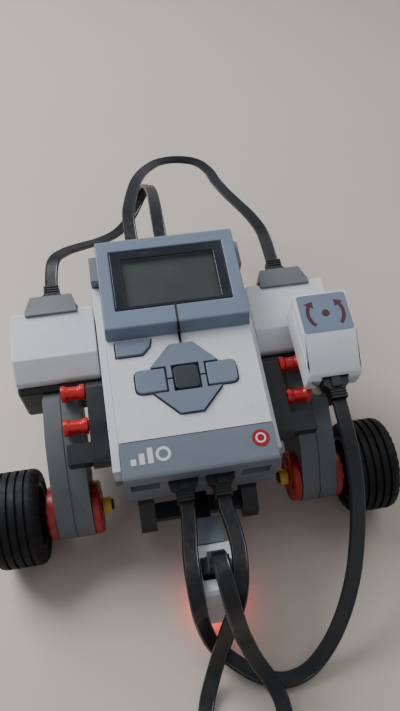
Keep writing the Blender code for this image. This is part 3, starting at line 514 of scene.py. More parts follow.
def arc(radius: float, start: float, end: float, count: int, centre: Point2 = (0, 0)) -> list[Point2]:
    """Place points on an arc.

    Args:
        radius: the arc's radius.
        start: the first angle in degrees.
        end: the last angle in degrees.
        count: how many steps.
        centre: the arc's centre.

    Returns:
        count + 1 points.
    """
    turns = [math.radians(start + (end - start) * step / count) for step in range(count + 1)]
    return [(centre[0] + radius * math.cos(t), centre[1] + radius * math.sin(t)) for t in turns]


def rounded_rectangle(low: Point2, high: Point2, corner: float, steps: int = 4) -> list[Point2]:
    """Outline a rectangle with round corners.

    Args:
        low: its lowest corner.
        high: its highest corner.
        corner: the corners' radius.
        steps: points on each corner.

    Returns:
        The outline, anticlockwise.
    """
    left, bottom, right, top = low[0] + corner, low[1] + corner, high[0] - corner, high[1] - corner
    return (
        arc(corner, -90, 0, steps, (right, bottom))
        + arc(corner, 0, 90, steps, (right, top))
        + arc(corner, 90, 180, steps, (left, top))
        + arc(corner, 180, 270, steps, (left, bottom))
    )


def axis_point(along: Along, place: float, across: float, up: float) -> Vector:
    """Place a point by its distance along an axis and its two distances from it.

    Args:
        along: the axis.
        place: the distance along it.
        across: the first distance from it.
        up: the second distance from it.

    Returns:
        The point.
    """
    spots = {Along.X: (place, across, up), Along.Y: (up, place, across), Along.Z: (across, up, place)}
    return Vector(spots[along])


def in_scene(name: str, data: bpy.types.ID) -> bpy.types.Object:
    """Put new data into the scene.

    Args:
        name: the new object's name.
        data: a mesh, a camera or a light.

    Returns:
        The new object.
    """
    made = bpy.data.objects.new(name, data)
    bpy.context.scene.collection.objects.link(made)
    return made


class Shape:
    """A mesh under construction, in millimetres in its own frame."""

    def __init__(self) -> None:
        """Start with nothing."""
        self.mesh = bmesh.new()

    def block(self, low: Point3, high: Point3) -> "Shape":
        """Add a block between two corners.

        Args:
            low: its lowest corner.
            high: its highest corner.

        Returns:
            This shape.
        """
        verts = bmesh.ops.create_cube(self.mesh, size=1)["verts"]
        size = Vector(high) - Vector(low)
        bmesh.ops.scale(self.mesh, vec=size, verts=verts)
        bmesh.ops.translate(self.mesh, vec=(Vector(low) + Vector(high)) / 2, verts=verts)
        return self

    def prism(self, outline: Sequence[Point2], start: float, end: float, along: Along = Along.Z) -> "Shape":
        """Add an outline with a thickness.

        Args:
            outline: its points.
            start: where the thickness starts.
            end: where it ends.
            along: the axis of the thickness.

        Returns:
            This shape.
        """
        view = TURNED_TO[along]
        if along is Along.Y:
            start, end = -end, -start
        rings = [
            [self.mesh.verts.new(view @ Vector((a, b, place))) for a, b in outline] for place in (start, end)
        ]
        self.close_ends(rings)
        self.bridge(rings)
        return self

    def close_ends(self, rings: Sequence[Sequence[bmesh.types.BMVert]]) -> None:
        """Close the first and the last of the rings with a face each.

        Args:
            rings: the rings.
        """
        self.mesh.faces.new(rings[0][::-1])
        self.mesh.faces.new(rings[-1])

    def bridge(self, rings: Sequence[Sequence[bmesh.types.BMVert]], closed: bool = False) -> None:
        """Join each ring of points to the next.

        Args:
            rings: rings with the same number of points.
            closed: whether the last ring joins the first.
        """
        following = list(rings[1:]) + ([rings[0]] if closed else [])
        for ring, other in zip(rings, following):
            for index in range(len(ring)):
                after = (index + 1) % len(ring)
                self.mesh.faces.new((ring[index], ring[after], other[after], other[index]))

    def turned(self, profile: Sequence[Point2], steps: int = 48, along: Along = Along.X,
               at: Point3 = (0, 0, 0),
               notch: Callable[[int, int], float] = lambda index, step: 0.0) -> "Shape":
        """Add a closed profile turned about an axis.

        Args:
            profile: a loop of (place on the axis, radius), whose radii are above 0.
            steps: how many steps round.
            along: the axis.
            at: a point on the axis.
            notch: how much lower the point of a profile index and a step is.

        Returns:
            This shape.
        """
        rings = []
        for step in range(steps):
            turn = math.tau * step / steps
            ring = []
            for index, (place, radius) in enumerate(profile):
                reach = radius - notch(index, step)
                across, up = reach * math.cos(turn), reach * math.sin(turn)
                ring.append(self.mesh.verts.new(axis_point(along, place, across, up) + Vector(at)))
            rings.append(ring)
        self.bridge(rings, closed=True)
        return self

    def stepped(self, profile: Sequence[Point2], steps: int, along: Along, at: Point3) -> "Shape":
        """Add a solid bar whose radius changes along its axis.

        Args:
            profile: (place on the axis, radius) from one end to the other.
            steps: sides.
            along: the axis.
            at: a point on the axis.

        Returns:
            This shape.
        """
        middle = Vector(at)
        rings = []
        for place, radius in profile:
            ring = []
            for step in range(steps):
                turn = math.tau * step / steps
                across, up = radius * math.cos(turn), radius * math.sin(turn)
                ring.append(self.mesh.verts.new(middle + axis_point(along, place, across, up)))
            rings.append(ring)
        self.bridge(rings)
        self.close_ends(rings)
        return self

    def rod(self, radius: float, start: float, end: float, at: Point3, along: Along,
            steps: int = 28) -> "Shape":
        """Add a plain round bar, for a cut or inside a larger piece.

        Args:
            radius: the bar's radius.
            start: where it starts on its axis.
            end: where it ends.
            at: a point on its axis.
            along: its axis.
            steps: sides.

        Returns:
            This shape.
        """
        circle = arc(radius, 0, 360 - 360 / steps, steps - 1)
        offset = {Along.X: (at[1], at[2]), Along.Y: (at[0], at[2]), Along.Z: (at[0], at[1])}[along]
        base = {Along.X: at[0], Along.Y: at[1], Along.Z: at[2]}[along]
        outline = [(a + offset[0], b + offset[1]) for a, b in circle]
        return self.prism(outline, base + start, base + end, along)

    def seam(self, outline: Sequence[Point2], middle: float, width: float, depth: float,
             along: Along) -> "Shape":
        """Add a thin collar that cuts a parting line round a prism.

        Args:
            outline: the prism's outline.
            middle: the line's place on the prism's axis.
            width: the line's width.
            depth: how deep it is cut.
            along: the prism's axis.

        Returns:
            This shape.
        """
        loops = [offset_outline(outline, depth), offset_outline(outline, -2.0)]
        places = (middle - width / 2, middle + width / 2)
        spots = [(loops[0], places[0]), (loops[1], places[0]), (loops[1], places[1]), (loops[0], places[1])]
        rings = [
            [self.mesh.verts.new(TURNED_TO[along] @ Vector((a, b, place))) for a, b in loop]
            for loop, place in spots
        ]
        self.bridge(rings, closed=True)
        return self

    def object(self, name: str, place: Matrix) -> bpy.types.Object:
        """Turn the shape into an object.

        Args:
            name: the object's name.
            place: the frame that its millimetres are in.

        Returns:
            The new object, whose mesh is in world metres.
        """
        bmesh.ops.transform(self.mesh, matrix=place @ Matrix.Scale(MM, 4), verts=self.mesh.verts)
        bmesh.ops.recalc_face_normals(self.mesh, faces=self.mesh.faces)
        mesh = bpy.data.meshes.new(name)
        self.mesh.to_mesh(mesh)
        self.mesh.free()
        return in_scene(name, mesh)


def offset_outline(outline: Sequence[Point2], depth: float) -> list[Point2]:
    """Move an anticlockwise or clockwise outline in or out.

    Args:
        outline: its points.
        depth: how far inwards; less than 0 is outwards.

    Returns:
        The moved points.
    """
    area = sum(a[0] * b[1] - b[0] * a[1] for a, b in zip(outline, [*outline[1:], outline[0]]))
    turn = 1 if area > 0 else -1
    moved = []
    for index, point in enumerate(outline):
        before, after = Vector(outline[index - 1]), Vector(outline[(index + 1) % len(outline)])
        here = Vector(point)
        into, out_of = (here - before).normalized(), (after - here).normalized()
        inward = [Vector((-way.y, way.x)) * turn for way in (into, out_of)]
        bisector = (inward[0] + inward[1]).normalized()
        moved.append(tuple(here + bisector * depth / max(0.35, bisector.dot(inward[0]))))
    return moved


# ---------------------------------------------------------------- bench work


def node(name: str) -> bpy.types.Object:
    """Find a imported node's object.

    Args:
        name: the node's name.

    Returns:
        Its object.
    """
    found = frame["nodes"][name]
    return found if isinstance(found, bpy.types.Object) else bpy.data.objects[found]


def shape_up(piece: bpy.types.Object, cuts: Iterable[bpy.types.Object] = (), edge: float = 0.0,
             segments: int = 2, sharp: float = 34) -> bpy.types.Object:
    """Cut a piece, round its edges and shade it.

    Args:
        piece: the piece.
        cuts: shapes that are taken away and used up.
        edge: the width of the rounded edges in millimetres.
        segments: steps across a rounded edge.
        sharp: the angle in degrees above which an edge is rounded or stays sharp.

    Returns:
        The piece with its final mesh.
    """
    cuts = list(cuts)
    piece.data.shade_smooth()
    for cut in cuts:
        boolean = piece.modifiers.new(cut.name, "BOOLEAN")
        boolean.object = cut
        boolean.operation = "DIFFERENCE"
        boolean.solver = "EXACT"
    if edge:
        rounding = piece.modifiers.new("rounded_edges", "BEVEL")
        rounding.width = edge * MM
        rounding.segments = segments
        rounding.limit_method = "ANGLE"
        rounding.angle_limit = math.radians(sharp)
        rounding.use_clamp_overlap = True
        piece.modifiers.new("flat_faces", "WEIGHTED_NORMAL")
    bpy.context.view_layer.update()
    graph = bpy.context.evaluated_depsgraph_get()
    mesh = bpy.data.meshes.new_from_object(piece.evaluated_get(graph))
    piece.modifiers.clear()
    piece.data = mesh
    mesh.materials.clear()
    for cut in cuts:
        bpy.data.objects.remove(cut, do_unlink=True)
    if not edge:
        mesh.shade_smooth()
        mesh.set_sharp_from_angle(angle=math.radians(sharp))
    return piece


def copy_of(name: str) -> bpy.types.Object:
    """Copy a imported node's mesh for finer work, its flat faces made whole.

    Args:
        name: the node's name.

    Returns:
        A new object in the same place.
    """
    mesh = node(name).data.copy()
    shape = bmesh.new()
    shape.from_mesh(mesh)
    bmesh.ops.remove_doubles(shape, verts=shape.verts, dist=2e-6)
    bmesh.ops.dissolve_limit(shape, angle_limit=math.radians(0.4), verts=shape.verts, edges=shape.edges)
    shape.to_mesh(mesh)
    shape.free()
    return in_scene(f"{name}_fine", mesh)


def settle(piece: bpy.types.Object, finish: Finish, body: str = "root",
           stands_for: str = "") -> bpy.types.Object:
    """Give a piece its finish and the body that it rides on.

    Args:
        piece: the piece, in place.
        finish: its finish.
        body: the body's name.
        stands_for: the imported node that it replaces, if any.

    Returns:
        The piece.
    """
    piece.data.materials.clear()
    piece.data.materials.append(material_of(finish))
    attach(piece, body)
    if stands_for:
        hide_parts(stands_for)
    LOG.info("%s rides on %s in %s", piece.name, body, finish.name)
    return piece


def refine(name: str, finish: Finish, edge: float, cuts: Iterable[bpy.types.Object] = (), body: str = "root",
           segments: int = 2, sharp: float = 34) -> bpy.types.Object:
    """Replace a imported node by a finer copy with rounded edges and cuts.

    Args:
        name: the node's name.
        finish: its finish.
        edge: the rounded edges' width in millimetres.
        cuts: shapes that are taken away.
        body: the body that it rides on.
        segments: steps across a rounded edge.
        sharp: the angle in degrees above which an edge is rounded.

    Returns:
        The finer piece.
    """
    return settle(shape_up(copy_of(name), cuts, edge, segments, sharp), finish, body, name)


def dress(name: str, finish: Finish) -> None:
    """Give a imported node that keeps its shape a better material.

    Args:
        name: the node's name.
        finish: its finish.
    """
    for holder in node(name).material_slots:
        holder.link = "OBJECT"
        holder.material = material_of(finish)
    LOG.info("%s is dressed in %s", name, finish.name)


def pin_hole(at: Point3, along: Along, half: float, radius: float = 2.45, rim: float = 3.1,
             rim_depth: float = 0.9) -> Shape:
    """Shape the cut of a pin hole that goes through a beam, with a wider rim at each face.

    Args:
        at: the hole's middle.
        along: its axis.
        half: half of the beam's thickness.
        radius: the hole's radius.
        rim: the rims' radius.
        rim_depth: the rims' depth.

    Returns:
        The cut.
    """
    stages = [
        (-half - 1, rim), (-half + rim_depth, rim), (-half + rim_depth, radius),
        (half - rim_depth, radius), (half - rim_depth, rim), (half + 1, rim),
    ]
    return Shape().stepped(stages, 24, along, at)


def smooth_line(points: Sequence[Vector], step: float, detail: int = 12) -> list[Vector]:
    """Walk evenly along a smooth curve, straight between its first two and last two points.

    Args:
        points: the points that the curve goes through.
        step: the distance between the walk's points.
        detail: how finely each stretch is measured.

    Returns:
        The two ends, and an even walk between the points next to them.
    """
    ways = [(after - point).normalized() for point, after in zip(points, points[1:])]
    tangents = [ways[0]] + [(a + b).normalized() for a, b in zip(ways, ways[1:])] + [ways[-1]]
    fine = [points[0]]
    for a, b, leave, arrive in zip(points, points[1:], tangents, tangents[1:]):
        reach = (b - a).length / 3
        fine += interpolate_bezier(a, a + leave * reach, b - arrive * reach, b, detail + 1)[1:]
    fine = fine[detail:-detail]
    places = [0.0]
    for a, b in zip(fine, fine[1:]):
        places.append(places[-1] + (b - a).length)
    count = round(places[-1] / step)
    line, spot = [points[0], fine[0]], 0
    for number in range(1, count):
        want = places[-1] * number / count
        while places[spot + 1] < want:
            spot += 1
        part = (want - places[spot]) / (places[spot + 1] - places[spot])
        line.append(fine[spot].lerp(fine[spot + 1], part))
    return line + [fine[-1], points[-1]]


# ---------------------------------------------------------------- studio


@dataclass(frozen=True)
class SoftLight:
    """A square soft light: where it hangs and what it faces in metres, its side and its power in watts."""

    name: str
    at: Point3
    target: Point3
    size: float
    power: float
    colour: Colour

    def hang(self) -> None:
        """Hang the light."""
        light = bpy.data.lights.new(self.name, "AREA")
        light.size = self.size
        light.energy = self.power
        light.color = self.colour
        made = in_scene(self.name, light)
        made.location = self.at
        made.rotation_euler = (Vector(self.target) - Vector(self.at)).to_track_quat("-Z", "Y").to_euler()


@dataclass
class Studio:
    """The camera, the pale floor and the soft lights."""

    eye: Point3 = (-23.9, -144.3, 290.2)
    look: Point3 = (0.1131, 0.6399, -0.7601)
    lens: float = 32.31
    film: float = 36.0
    floor_half: float = 3.0
    floor_drop: float = 0.2
    floor_colour: Colour = (0.53, 0.46, 0.40)
    sky_colour: Colour = (0.86, 0.92, 1.0)
    sky_strength: float = 0.3
    lights: tuple[SoftLight, ...] = (
        SoftLight("key_light", (-0.52, 0.56, 0.74), (0, 0.02, 0.05), 0.6, 12.5, (0.93, 0.96, 1.0)),
        SoftLight("fill_light", (0.75, 0.35, 0.9), (0, 0, 0.05), 0.9, 3.4, (1.0, 0.97, 0.93)),
        SoftLight("front_light", (-0.2, -1.0, 0.9), (0, 0, 0.05), 1.2, 1.3, (1.0, 0.98, 0.95)),
    )

    def build(self) -> None:
        """Set up the camera, floor and lights."""
        self.place_camera()
        self.lay_floor()
        for light in self.lights:
            light.hang()
        world = bpy.context.scene.world or bpy.data.worlds.new("studio")
        bpy.context.scene.world = world
        world.use_nodes = True
        sky = world.node_tree.nodes["Background"]
        sky.inputs["Color"].default_value = (*self.sky_colour, 1)
        sky.inputs["Strength"].default_value = self.sky_strength

    def place_camera(self) -> None:
        """Make the camera and point it."""
        camera = bpy.data.cameras.new("camera")
        camera.sensor_fit = "VERTICAL"
        camera.sensor_height = self.film
        camera.lens = self.lens
        camera.clip_start = 0.01
        made = in_scene("camera", camera)
        made.location = FLOOR @ (Vector(self.eye) * MM)
        made.rotation_euler = Vector(self.look).to_track_quat("-Z", "Y").to_euler()
        bpy.context.scene.camera = made

    def lay_floor(self) -> None:
        """Lay the plain pale floor."""
        shape = bmesh.new()
        bmesh.ops.create_grid(shape, x_segments=4, y_segments=4, size=self.floor_half)
        mesh = bpy.data.meshes.new("floor")
        shape.to_mesh(mesh)
        shape.free()
        floor = in_scene("floor", mesh)
        floor.location.z = -self.floor_drop * MM
        paint = Painter("pale_floor")
        tone = paint.spread(paint.noise(3, 4), 0, 1)
        pale = self.floor_colour
        paint.join(paint.blend(tone, shade(pale, 0.97), shade(pale, 1.03)), "Base Color")
        paint.join(paint.spread(paint.noise(30, 4), 0.42, 0.5), "Roughness")
        mesh.materials.append(paint.material)


# ---------------------------------------------------------------- routes, in millimetres in the floor's frame

GYRO_ROUTE: list[Point3] = [
    (-8.6, -34, 50.2), (-9.6, -42, 49.2), (-10, -50, 48.8), (-9.9, -56.5, 46.9), (-9.4, -61.4, 41),
    (-8.4, -62.4, 31), (-6.8, -63.2, 20), (-4, -65.5, 10), (1.5, -69.5, 3.8), (8, -75, 2.2), (15, -79.5, 2.2),
    (23.5, -82, 2.2), (32.5, -80.5, 3), (41, -75.5, 7.5), (50, -66, 16.5), (56.5, -54.5, 28.5),
    (60.5, -42, 40), (63, -29, 50.5), (64.2, -14, 59.5),
]
COLOUR_ROUTE: list[Point3] = [
    (9.2, -35, 50.6), (9.5, -42, 49.9), (8.9, -49, 49.3), (7.6, -56, 47.2), (5.2, -62, 41.5),
    (1.8, -66, 32.5), (-1, -69, 22.5), (-3.6, -72, 13.5), (-6.5, -76.5, 6), (-9.8, -83, 2.4),
    (-12, -90.5, 2.2), (-11, -99, 2.2), (-5, -105.5, 2.2), (3.5, -108, 2.2), (12.5, -105.5, 2.2),
    (18.6, -98.5, 2.8), (19, -90.5, 6), (15.5, -83, 12), (10.5, -77, 20.5), (7.4, -73.5, 30), (5, -72, 40),
    (3, -69.5, 50), (1.4, -64.5, 58.6), (0.4, -57.5, 63), (0, -50.6, 62),
]
RIGHT_ROUTE: list[Point3] = [
    (-13.6, 125, 88.5), (-11, 143, 85), (-5, 170, 78.5), (4.5, 196, 69), (14.5, 212, 62), (26, 217.5, 58.5),
    (36, 214, 58), (42, 201, 59.5), (43.5, 184, 63), (45.5, 166, 67.5), (48.5, 148, 72), (52, 131, 75.5),
    (55, 115, 76.5),
]
LEFT_ROUTE: list[Point3] = [
    (0.8, 125, 87), (1.6, 143, 82.5), (2.2, 160, 76), (2.2, 177, 67.5), (1, 190.5, 58.5), (-3, 193.5, 48.5),
    (-9.5, 186, 42), (-18.5, 171, 43), (-29.5, 154.5, 50.5), (-40, 139, 60.5), (-49, 124.5, 69.5),
    (-54.2, 112, 74.8),
]


# ---------------------------------------------------------------- plugs and cables


class Facing(Enum):
    """Which way a plug's cable leaves, as a turn about X of a frame whose cable leaves upwards."""

    FRONT = math.pi / 2
    BACK = -math.pi / 2
    UP = 0.0


@dataclass
class Plug:
    """A flat plug with a latch and a ribbed tail, in millimetres from its socket's mouth."""

    name: str
    frame: Matrix
    at: Point3
    facing: Facing
    head: float = 11.4
    thickness: float = 6.6
    tail: float = 7.2
    tail_end: float = 8.5
    clearance: float = 0.3
    lead: float = 4.0
    grip_heights: tuple[float, ...] = (4.9, 6.2, 7.5)
    grip_width: float = 0.65
    grip_depth: float = 0.45
    latch_half: float = 2.1
    piece: bpy.types.Object | None = None

    @property
    def place(self) -> Matrix:
        """The plug's own frame, with its mouth at the origin and its cable along +Z."""
        turn = Matrix.Rotation(self.facing.value, 4, "X")
        return self.frame @ Matrix.Translation(Vector(self.at) * MM) @ turn

    def point(self, height: float) -> Vector:
        """Find a point on the plug's axis.

        Args:
            height: millimetres from its mouth.

        Returns:
            The point in metres.
        """
        return self.place @ Vector((0, 0, height * MM))

    def cable_start(self) -> list[Vector]:
        """Find where the cable starts, and the end of its straight lead.

        Returns:
            Two points in metres.
        """
        start = self.tail_end + self.clearance
        return [self.point(start), self.point(start + self.lead)]

    def wide_way(self) -> Vector:
        """The direction across the plug, which the flat cable shares."""
        return (self.place.to_3x3() @ Vector((1, 0, 0))).normalized()

    def build(self) -> bpy.types.Object:
        """Make the plug and its latch.

        Returns:
            The plug.
        """
        half, deep = self.tail / 2, self.thickness / 2
        outline = [(-half, -deep), (half, -deep), (half, deep), (-half, deep)]
        grip = Shape()
        for height in self.grip_heights:
            grip.seam(outline, height, self.grip_width, self.grip_depth, Along.Z)
        cut = grip.object("grip_cut", self.place)
        self.piece = refine(self.name, FINISHES.plug_black, 0.35, [cut])
        upper = -1 if self.facing is Facing.BACK else 1
        side_view = [(upper * across, up) for across, up in (
            (deep - 0.1, -6.4), (deep + 0.3, -6.6), (deep + 0.95, -1.6), (deep + 1.05, 3.4),
            (deep + 0.5, 4.0), (deep + 0.3, 3.4), (deep - 0.1, -1.4),
        )]
        latch = Shape().prism(side_view, -self.latch_half, self.latch_half, Along.X)
        detail(f"{self.name}_latch", latch, FINISHES.plug_black, self.place, 0.15)
        return self.piece


@dataclass
class FlatCable:
    """A flat six-wire cable between two plugs; its route is millimetres from the floor below the axis."""

    name: str
    first: Plug
    last: Plug
    route: list[Point3]
    length: float = 0.25
    width: float = 6.4
    thickness: float = 2.3
    wires: int = 6
    rib_depth: float = 0.28
    edge_share: float = 0.45
    step: float = 2.6
    lay_passes: int = 260
    lay_pull: float = 0.10
    floor_gap: float = 0.0001
    sharp: float = 60.0

    def section(self) -> list[Point2]:
        """Outline the ribbed flat section.

        Returns:
            Points round the section in metres.
        """
        half, pitch = self.width / 2, self.width / (2 * self.wires)
        crest, dip = self.thickness / 2, self.thickness / 2 - self.rib_depth
        upper = []
        for number in range(2 * self.wires + 1):
            edge = number in (0, 2 * self.wires)
            rise = crest if number % 2 else dip
            upper.append((half - number * pitch, crest * self.edge_share if edge else rise))
        lower = [(-across, -up) for across, up in upper]
        return [(across * MM, up * MM) for across, up in upper + lower]

    def wide_ways(self, line: Sequence[Vector]) -> list[Vector]:
        """Choose which way the flat cable's width points at each point of its line.

        It starts and ends across its plugs, and between them settles flat where it runs level.

        Args:
            line: the cable's centreline.

        Returns:
            A unit vector for each point.
        """
        ways = [(b - a).normalized() for a, b in zip(line, line[1:])]
        tangents = [ways[0]] + [(a + b).normalized() for a, b in zip(ways, ways[1:])] + [ways[-1]]
        carried = [self.first.wide_way()]
        for before, tangent in zip(tangents, tangents[1:]):
            turned_way = before.rotation_difference(tangent) @ carried[-1]
            carried.append((turned_way - tangent * turned_way.dot(tangent)).normalized())

        def twist_to(index: int, target: Vector) -> float:
            """Measure the twist from the carried direction to a target, at most a quarter turn.

            Args:
                index: the point's number.
                target: the wanted direction.

            Returns:
                The angle in radians.
            """
            across = tangents[index].cross(carried[index])
            angle = math.atan2(target.dot(across), target.dot(carried[index]))
            return (angle + math.pi / 2) % math.pi - math.pi / 2

        count = len(line)
        level = []
        for index, tangent in enumerate(tangents):
            flat = Vector((0, 0, 1)).cross(tangent)
            level.append(twist_to(index, flat.normalized()) if flat.length > 0.25 else None)
        last = twist_to(count - 1, self.last.wide_way())
        twist = [last * index / (count - 1) for index in range(count)]
        for _ in range(self.lay_passes):
            for index in range(2, count - 2):
                near = (twist[index - 1] + twist[index + 1]) / 2
                if level[index] is None:
                    twist[index] = near
                    continue
                weight = self.lay_pull * (1 - abs(tangents[index].z)) ** 2
                wanted = level[index] + math.pi * round((twist[index] - level[index]) / math.pi)
                twist[index] = near * (1 - weight) + wanted * weight
        return [
            Matrix.Rotation(turn, 3, tangent) @ way for turn, tangent, way in zip(twist, tangents, carried)
        ]

    def build(self) -> None:
        plugs = [self.first.build(), self.last.build()]
        route = [FLOOR @ (Vector(point) * MM) for point in self.route]
        line = smooth_line(self.first.cable_start() + route + self.last.cable_start()[::-1], self.step * MM)
        widths = self.wide_ways(line)
        shape = Shape()
        rings = []
        for index, (point, wide) in enumerate(zip(line, widths)):
            way = (line[min(index + 1, len(line) - 1)] - line[max(index - 1, 0)]).normalized()
            wide = (wide - way * wide.dot(way)).normalized()
            thick = way.cross(wide)
            rings.append([shape.mesh.verts.new(point + wide * a + thick * b) for a, b in self.section()])
        shape.bridge(rings)
        shape.close_ends(rings)
        for vert in shape.mesh.verts:
            vert.co.z = max(vert.co.z, self.floor_gap)
        cable = shape.object(f"{self.name}_flat", IN_METRES)
        cable.data.shade_smooth()
        cable.data.set_sharp_from_angle(angle=math.radians(self.sharp))
        settle(cable, FINISHES.cable, stands_for=self.name)


# ---------------------------------------------------------------- sub-assemblies


def detail(name: str, shape: Shape, finish: Finish, place: Matrix = DECK, edge: float = 0.0,
           body: str = "root") -> bpy.types.Object:
    """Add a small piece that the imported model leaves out.

    Args:
        name: the piece's name.
        shape: its shape.
        finish: its finish.
        place: the frame that its millimetres are in.
        edge: the width of its rounded edges in millimetres.
        body: the body that it rides on.

    Returns:
        The piece.
    """
    return settle(shape_up(shape.object(name, place), edge=edge), finish, body)


def flat_ring(centre: Point2, inner: float, outer: float, low: float, high: float, steps: int = 40) -> Shape:
    """Shape a flat ring about a vertical axis.

    Args:
        centre: its middle in X and Y.
        inner: its inner radius.
        outer: its outer radius.
        low: the height of its lower face.
        high: the height of its upper face.
        steps: sides.

    Returns:
        The ring.
    """
    loop = [(low, inner), (low, outer), (high, outer), (high, inner)]
    return Shape().turned(loop, steps, Along.Z, (*centre, 0))


@dataclass
class Controller:
    """The controller: shells, display, keys, printed marks, battery and sockets, in the deck's frame."""

    top: float = 48.0
    grille_side: float = 32.0
    grille_start: float = 62.0
    grille_count: int = 7
    grille_pitch: float = 4.6
    grille_width: float = 2.1
    grille_z: Point2 = (40.0, 45.6)
    border_half: float = 25.9
    window_half: float = 21.5
    border_y: Point2 = (70.7, 100.9)
    window_y: Point2 = (72.0, 97.0)
    border_z: Point2 = (52.3, 53.5)
    pane_z: Point2 = (52.9, 53.3)
    groove_half: float = 0.45
    badge: Point2 = (25.75, 6.15)
    badge_radius: float = 3.6
    badge_ring: Point2 = (1.5, 2.2)
    label_ring: Point2 = (-14.6, 5.6)
    label_ring_radii: Point2 = (1.9, 3.1)
    label_foot: float = 2.4
    bar_width: float = 2.2
    bars: tuple[Point2, ...] = ((-28.0, 2.5), (-24.5, 4.5), (-21.0, 6.5))
    ink: float = 0.1
    pack_half: float = 30.0
    pack_y: Point2 = (10.0, 100.0)
    grip_start: float = 86.0
    grip_pitch: float = 2.2
    grip_half: float = 12.0
    screw_x: float = 33.2
    screws_y: Point2 = (8.0, 100.0)
    free_sockets: tuple[Point2, ...] = ((-23.4, -1.5), (23.4, -1.5), (-28.4, 97.6), (14.8, 97.6))
    contact_pitch: float = 1.2
    contact_width: float = 0.55
    contact_reach: float = 8.5
    contact_z: Point2 = (31.4, 31.75)
    keys: tuple[tuple[str, Finish], ...] = (
        ("key_up", FINISHES.key_grey), ("key_down", FINISHES.key_grey), ("key_left", FINISHES.key_grey),
        ("key_right", FINISHES.key_grey), ("key_back", FINISHES.key_grey), ("key_centre", FINISHES.key_dark),
    )

    def build(self) -> None:
        """Make the controller."""
        self.build_shell()
        self.build_display()
        for name, finish in self.keys:
            refine(name, finish, 0.5, body=f"{name}_body", segments=3)
        self.print_marks()
        self.build_battery()
        self.line_sockets()

    def build_shell(self) -> None:
        """Finish the cover, with a grille in each side, and the case."""
        slots = Shape()
        for side in Side:
            reach = side.value * self.grille_side
            for number in range(self.grille_count):
                start = self.grille_start + number * self.grille_pitch
                low, high = self.grille_z
                slots.block((reach - 1, start, low), (reach + 1, start + self.grille_width, high))
        refine("white_cover", FINISHES.shell_white, 0.7, [slots.object("grille_cut", DECK)], segments=3)
        refine("lower_case", FINISHES.case_grey, 0.6)
        dress("circuit_board", FINISHES.board_green)

    def build_display(self) -> None:
        """Finish the display: frame, black border, clear window, panel, and a black strip in front of it that
        is painted shade standing in for a groove.
        """
        refine("display_bezel", FINISHES.bezel_grey, 0.8, segments=3)
        front, back = self.border_y
        border = Shape().prism(
            rounded_rectangle((-self.border_half, front), (self.border_half, back), 1.2), *self.border_z
        )
        near, far = self.window_y
        half = self.window_half
        hole = Shape().prism(rounded_rectangle((-half, near), (half, far), 0.8), 50, 55)
        made = shape_up(border.object("screen_border", DECK), [hole.object("screen_hole", DECK)], 0.25)
        settle(made, FINISHES.border_black, stands_for="screen_lens")
        pane = rounded_rectangle((-half + 0.1, near + 0.1), (half - 0.1, far - 0.1), 0.7)
        detail("screen_window", Shape().prism(pane, *self.pane_z), FINISHES.window)
        dress("lcd_module", FINISHES.screen)
        # A thin black strip laid on the cover and bezel: painted shade in place of the groove in front of the
        # display.
        groove = [
            (70.6, 53.7), (61.8, 53.7), (58.6, 48.2), (53.6, 47.9),
            (53.6, 48.12), (58.45, 48.12), (61.6, 53.95), (70.6, 53.95),
        ]
        line = Shape().prism(groove, -self.groove_half, self.groove_half, Along.X)
        detail("display_groove", line, FINISHES.gap_black)

    def print_marks(self) -> None:
        """Print a round badge and a plain bar-and-ring pictogram on the label."""
        disc_top = self.top + 1.8 * self.ink
        disc = Shape().rod(self.badge_radius, self.top, disc_top, (*self.badge, 0), Along.Z, 40)
        detail("badge_disc", disc, FINISHES.badge_red)
        ring = flat_ring(self.badge, *self.badge_ring, disc_top - 0.02, disc_top + 0.08)
        detail("badge_ring", ring, FINISHES.print_white)
        printed, foot = self.top + self.ink, self.label_foot
        bars = Shape()
        for left, height in self.bars:
            bars.block((left, foot, self.top), (left + self.bar_width, foot + height, printed))
        detail("label_bars", bars, FINISHES.print_white)
        ring = flat_ring(self.label_ring, *self.label_ring_radii, self.top, printed)
        detail("label_ring", ring, FINISHES.print_white)

    def build_battery(self) -> None:
        """Finish the battery pack: parting line, thumb grip and the case's screws beside it."""
        grip, half = Shape(), self.grip_half
        for number in range(5):
            start = self.grip_start + number * self.grip_pitch
            grip.block((-half, start, 5), (half, start + self.grip_pitch / 2, 6.6))
        (front, back), side = self.pack_y, self.pack_half
        plan = [(-side, front), (side, front), (side, back), (-side, back)]
        line = Shape().seam(plan, 10.5, 0.6, 0.5, Along.Z)
        cuts = [grip.object("grip_cut", DECK), line.object("parting_cut", DECK)]
        refine("battery_pack", FINISHES.case_grey, 0.7, cuts)
        heads = Shape()
        slots = Shape()
        for across in (-self.screw_x, self.screw_x):
            for along in self.screws_y:
                heads.rod(1.7, 14.45, 15.1, (across, along, 0), Along.Z, 20)
                slots.block((across - 1.1, along - 0.25, 14), (across + 1.1, along + 0.25, 14.75))
        made = shape_up(heads.object("case_screws", DECK), [slots.object("slot_cut", DECK)], 0.15)
        settle(made, FINISHES.steel)

    def line_sockets(self) -> None:
        """Lay six contact strips in the floor of each free socket."""
        strips = Shape()
        low, high = self.contact_z
        for across, start in self.free_sockets:
            for number in range(6):
                left = across - 3.3 + self.contact_pitch * number
                right, end = left + self.contact_width, start + self.contact_reach
                strips.block((left, start, low), (right, end, high))
        detail("socket_contacts", strips, FINISHES.contact)


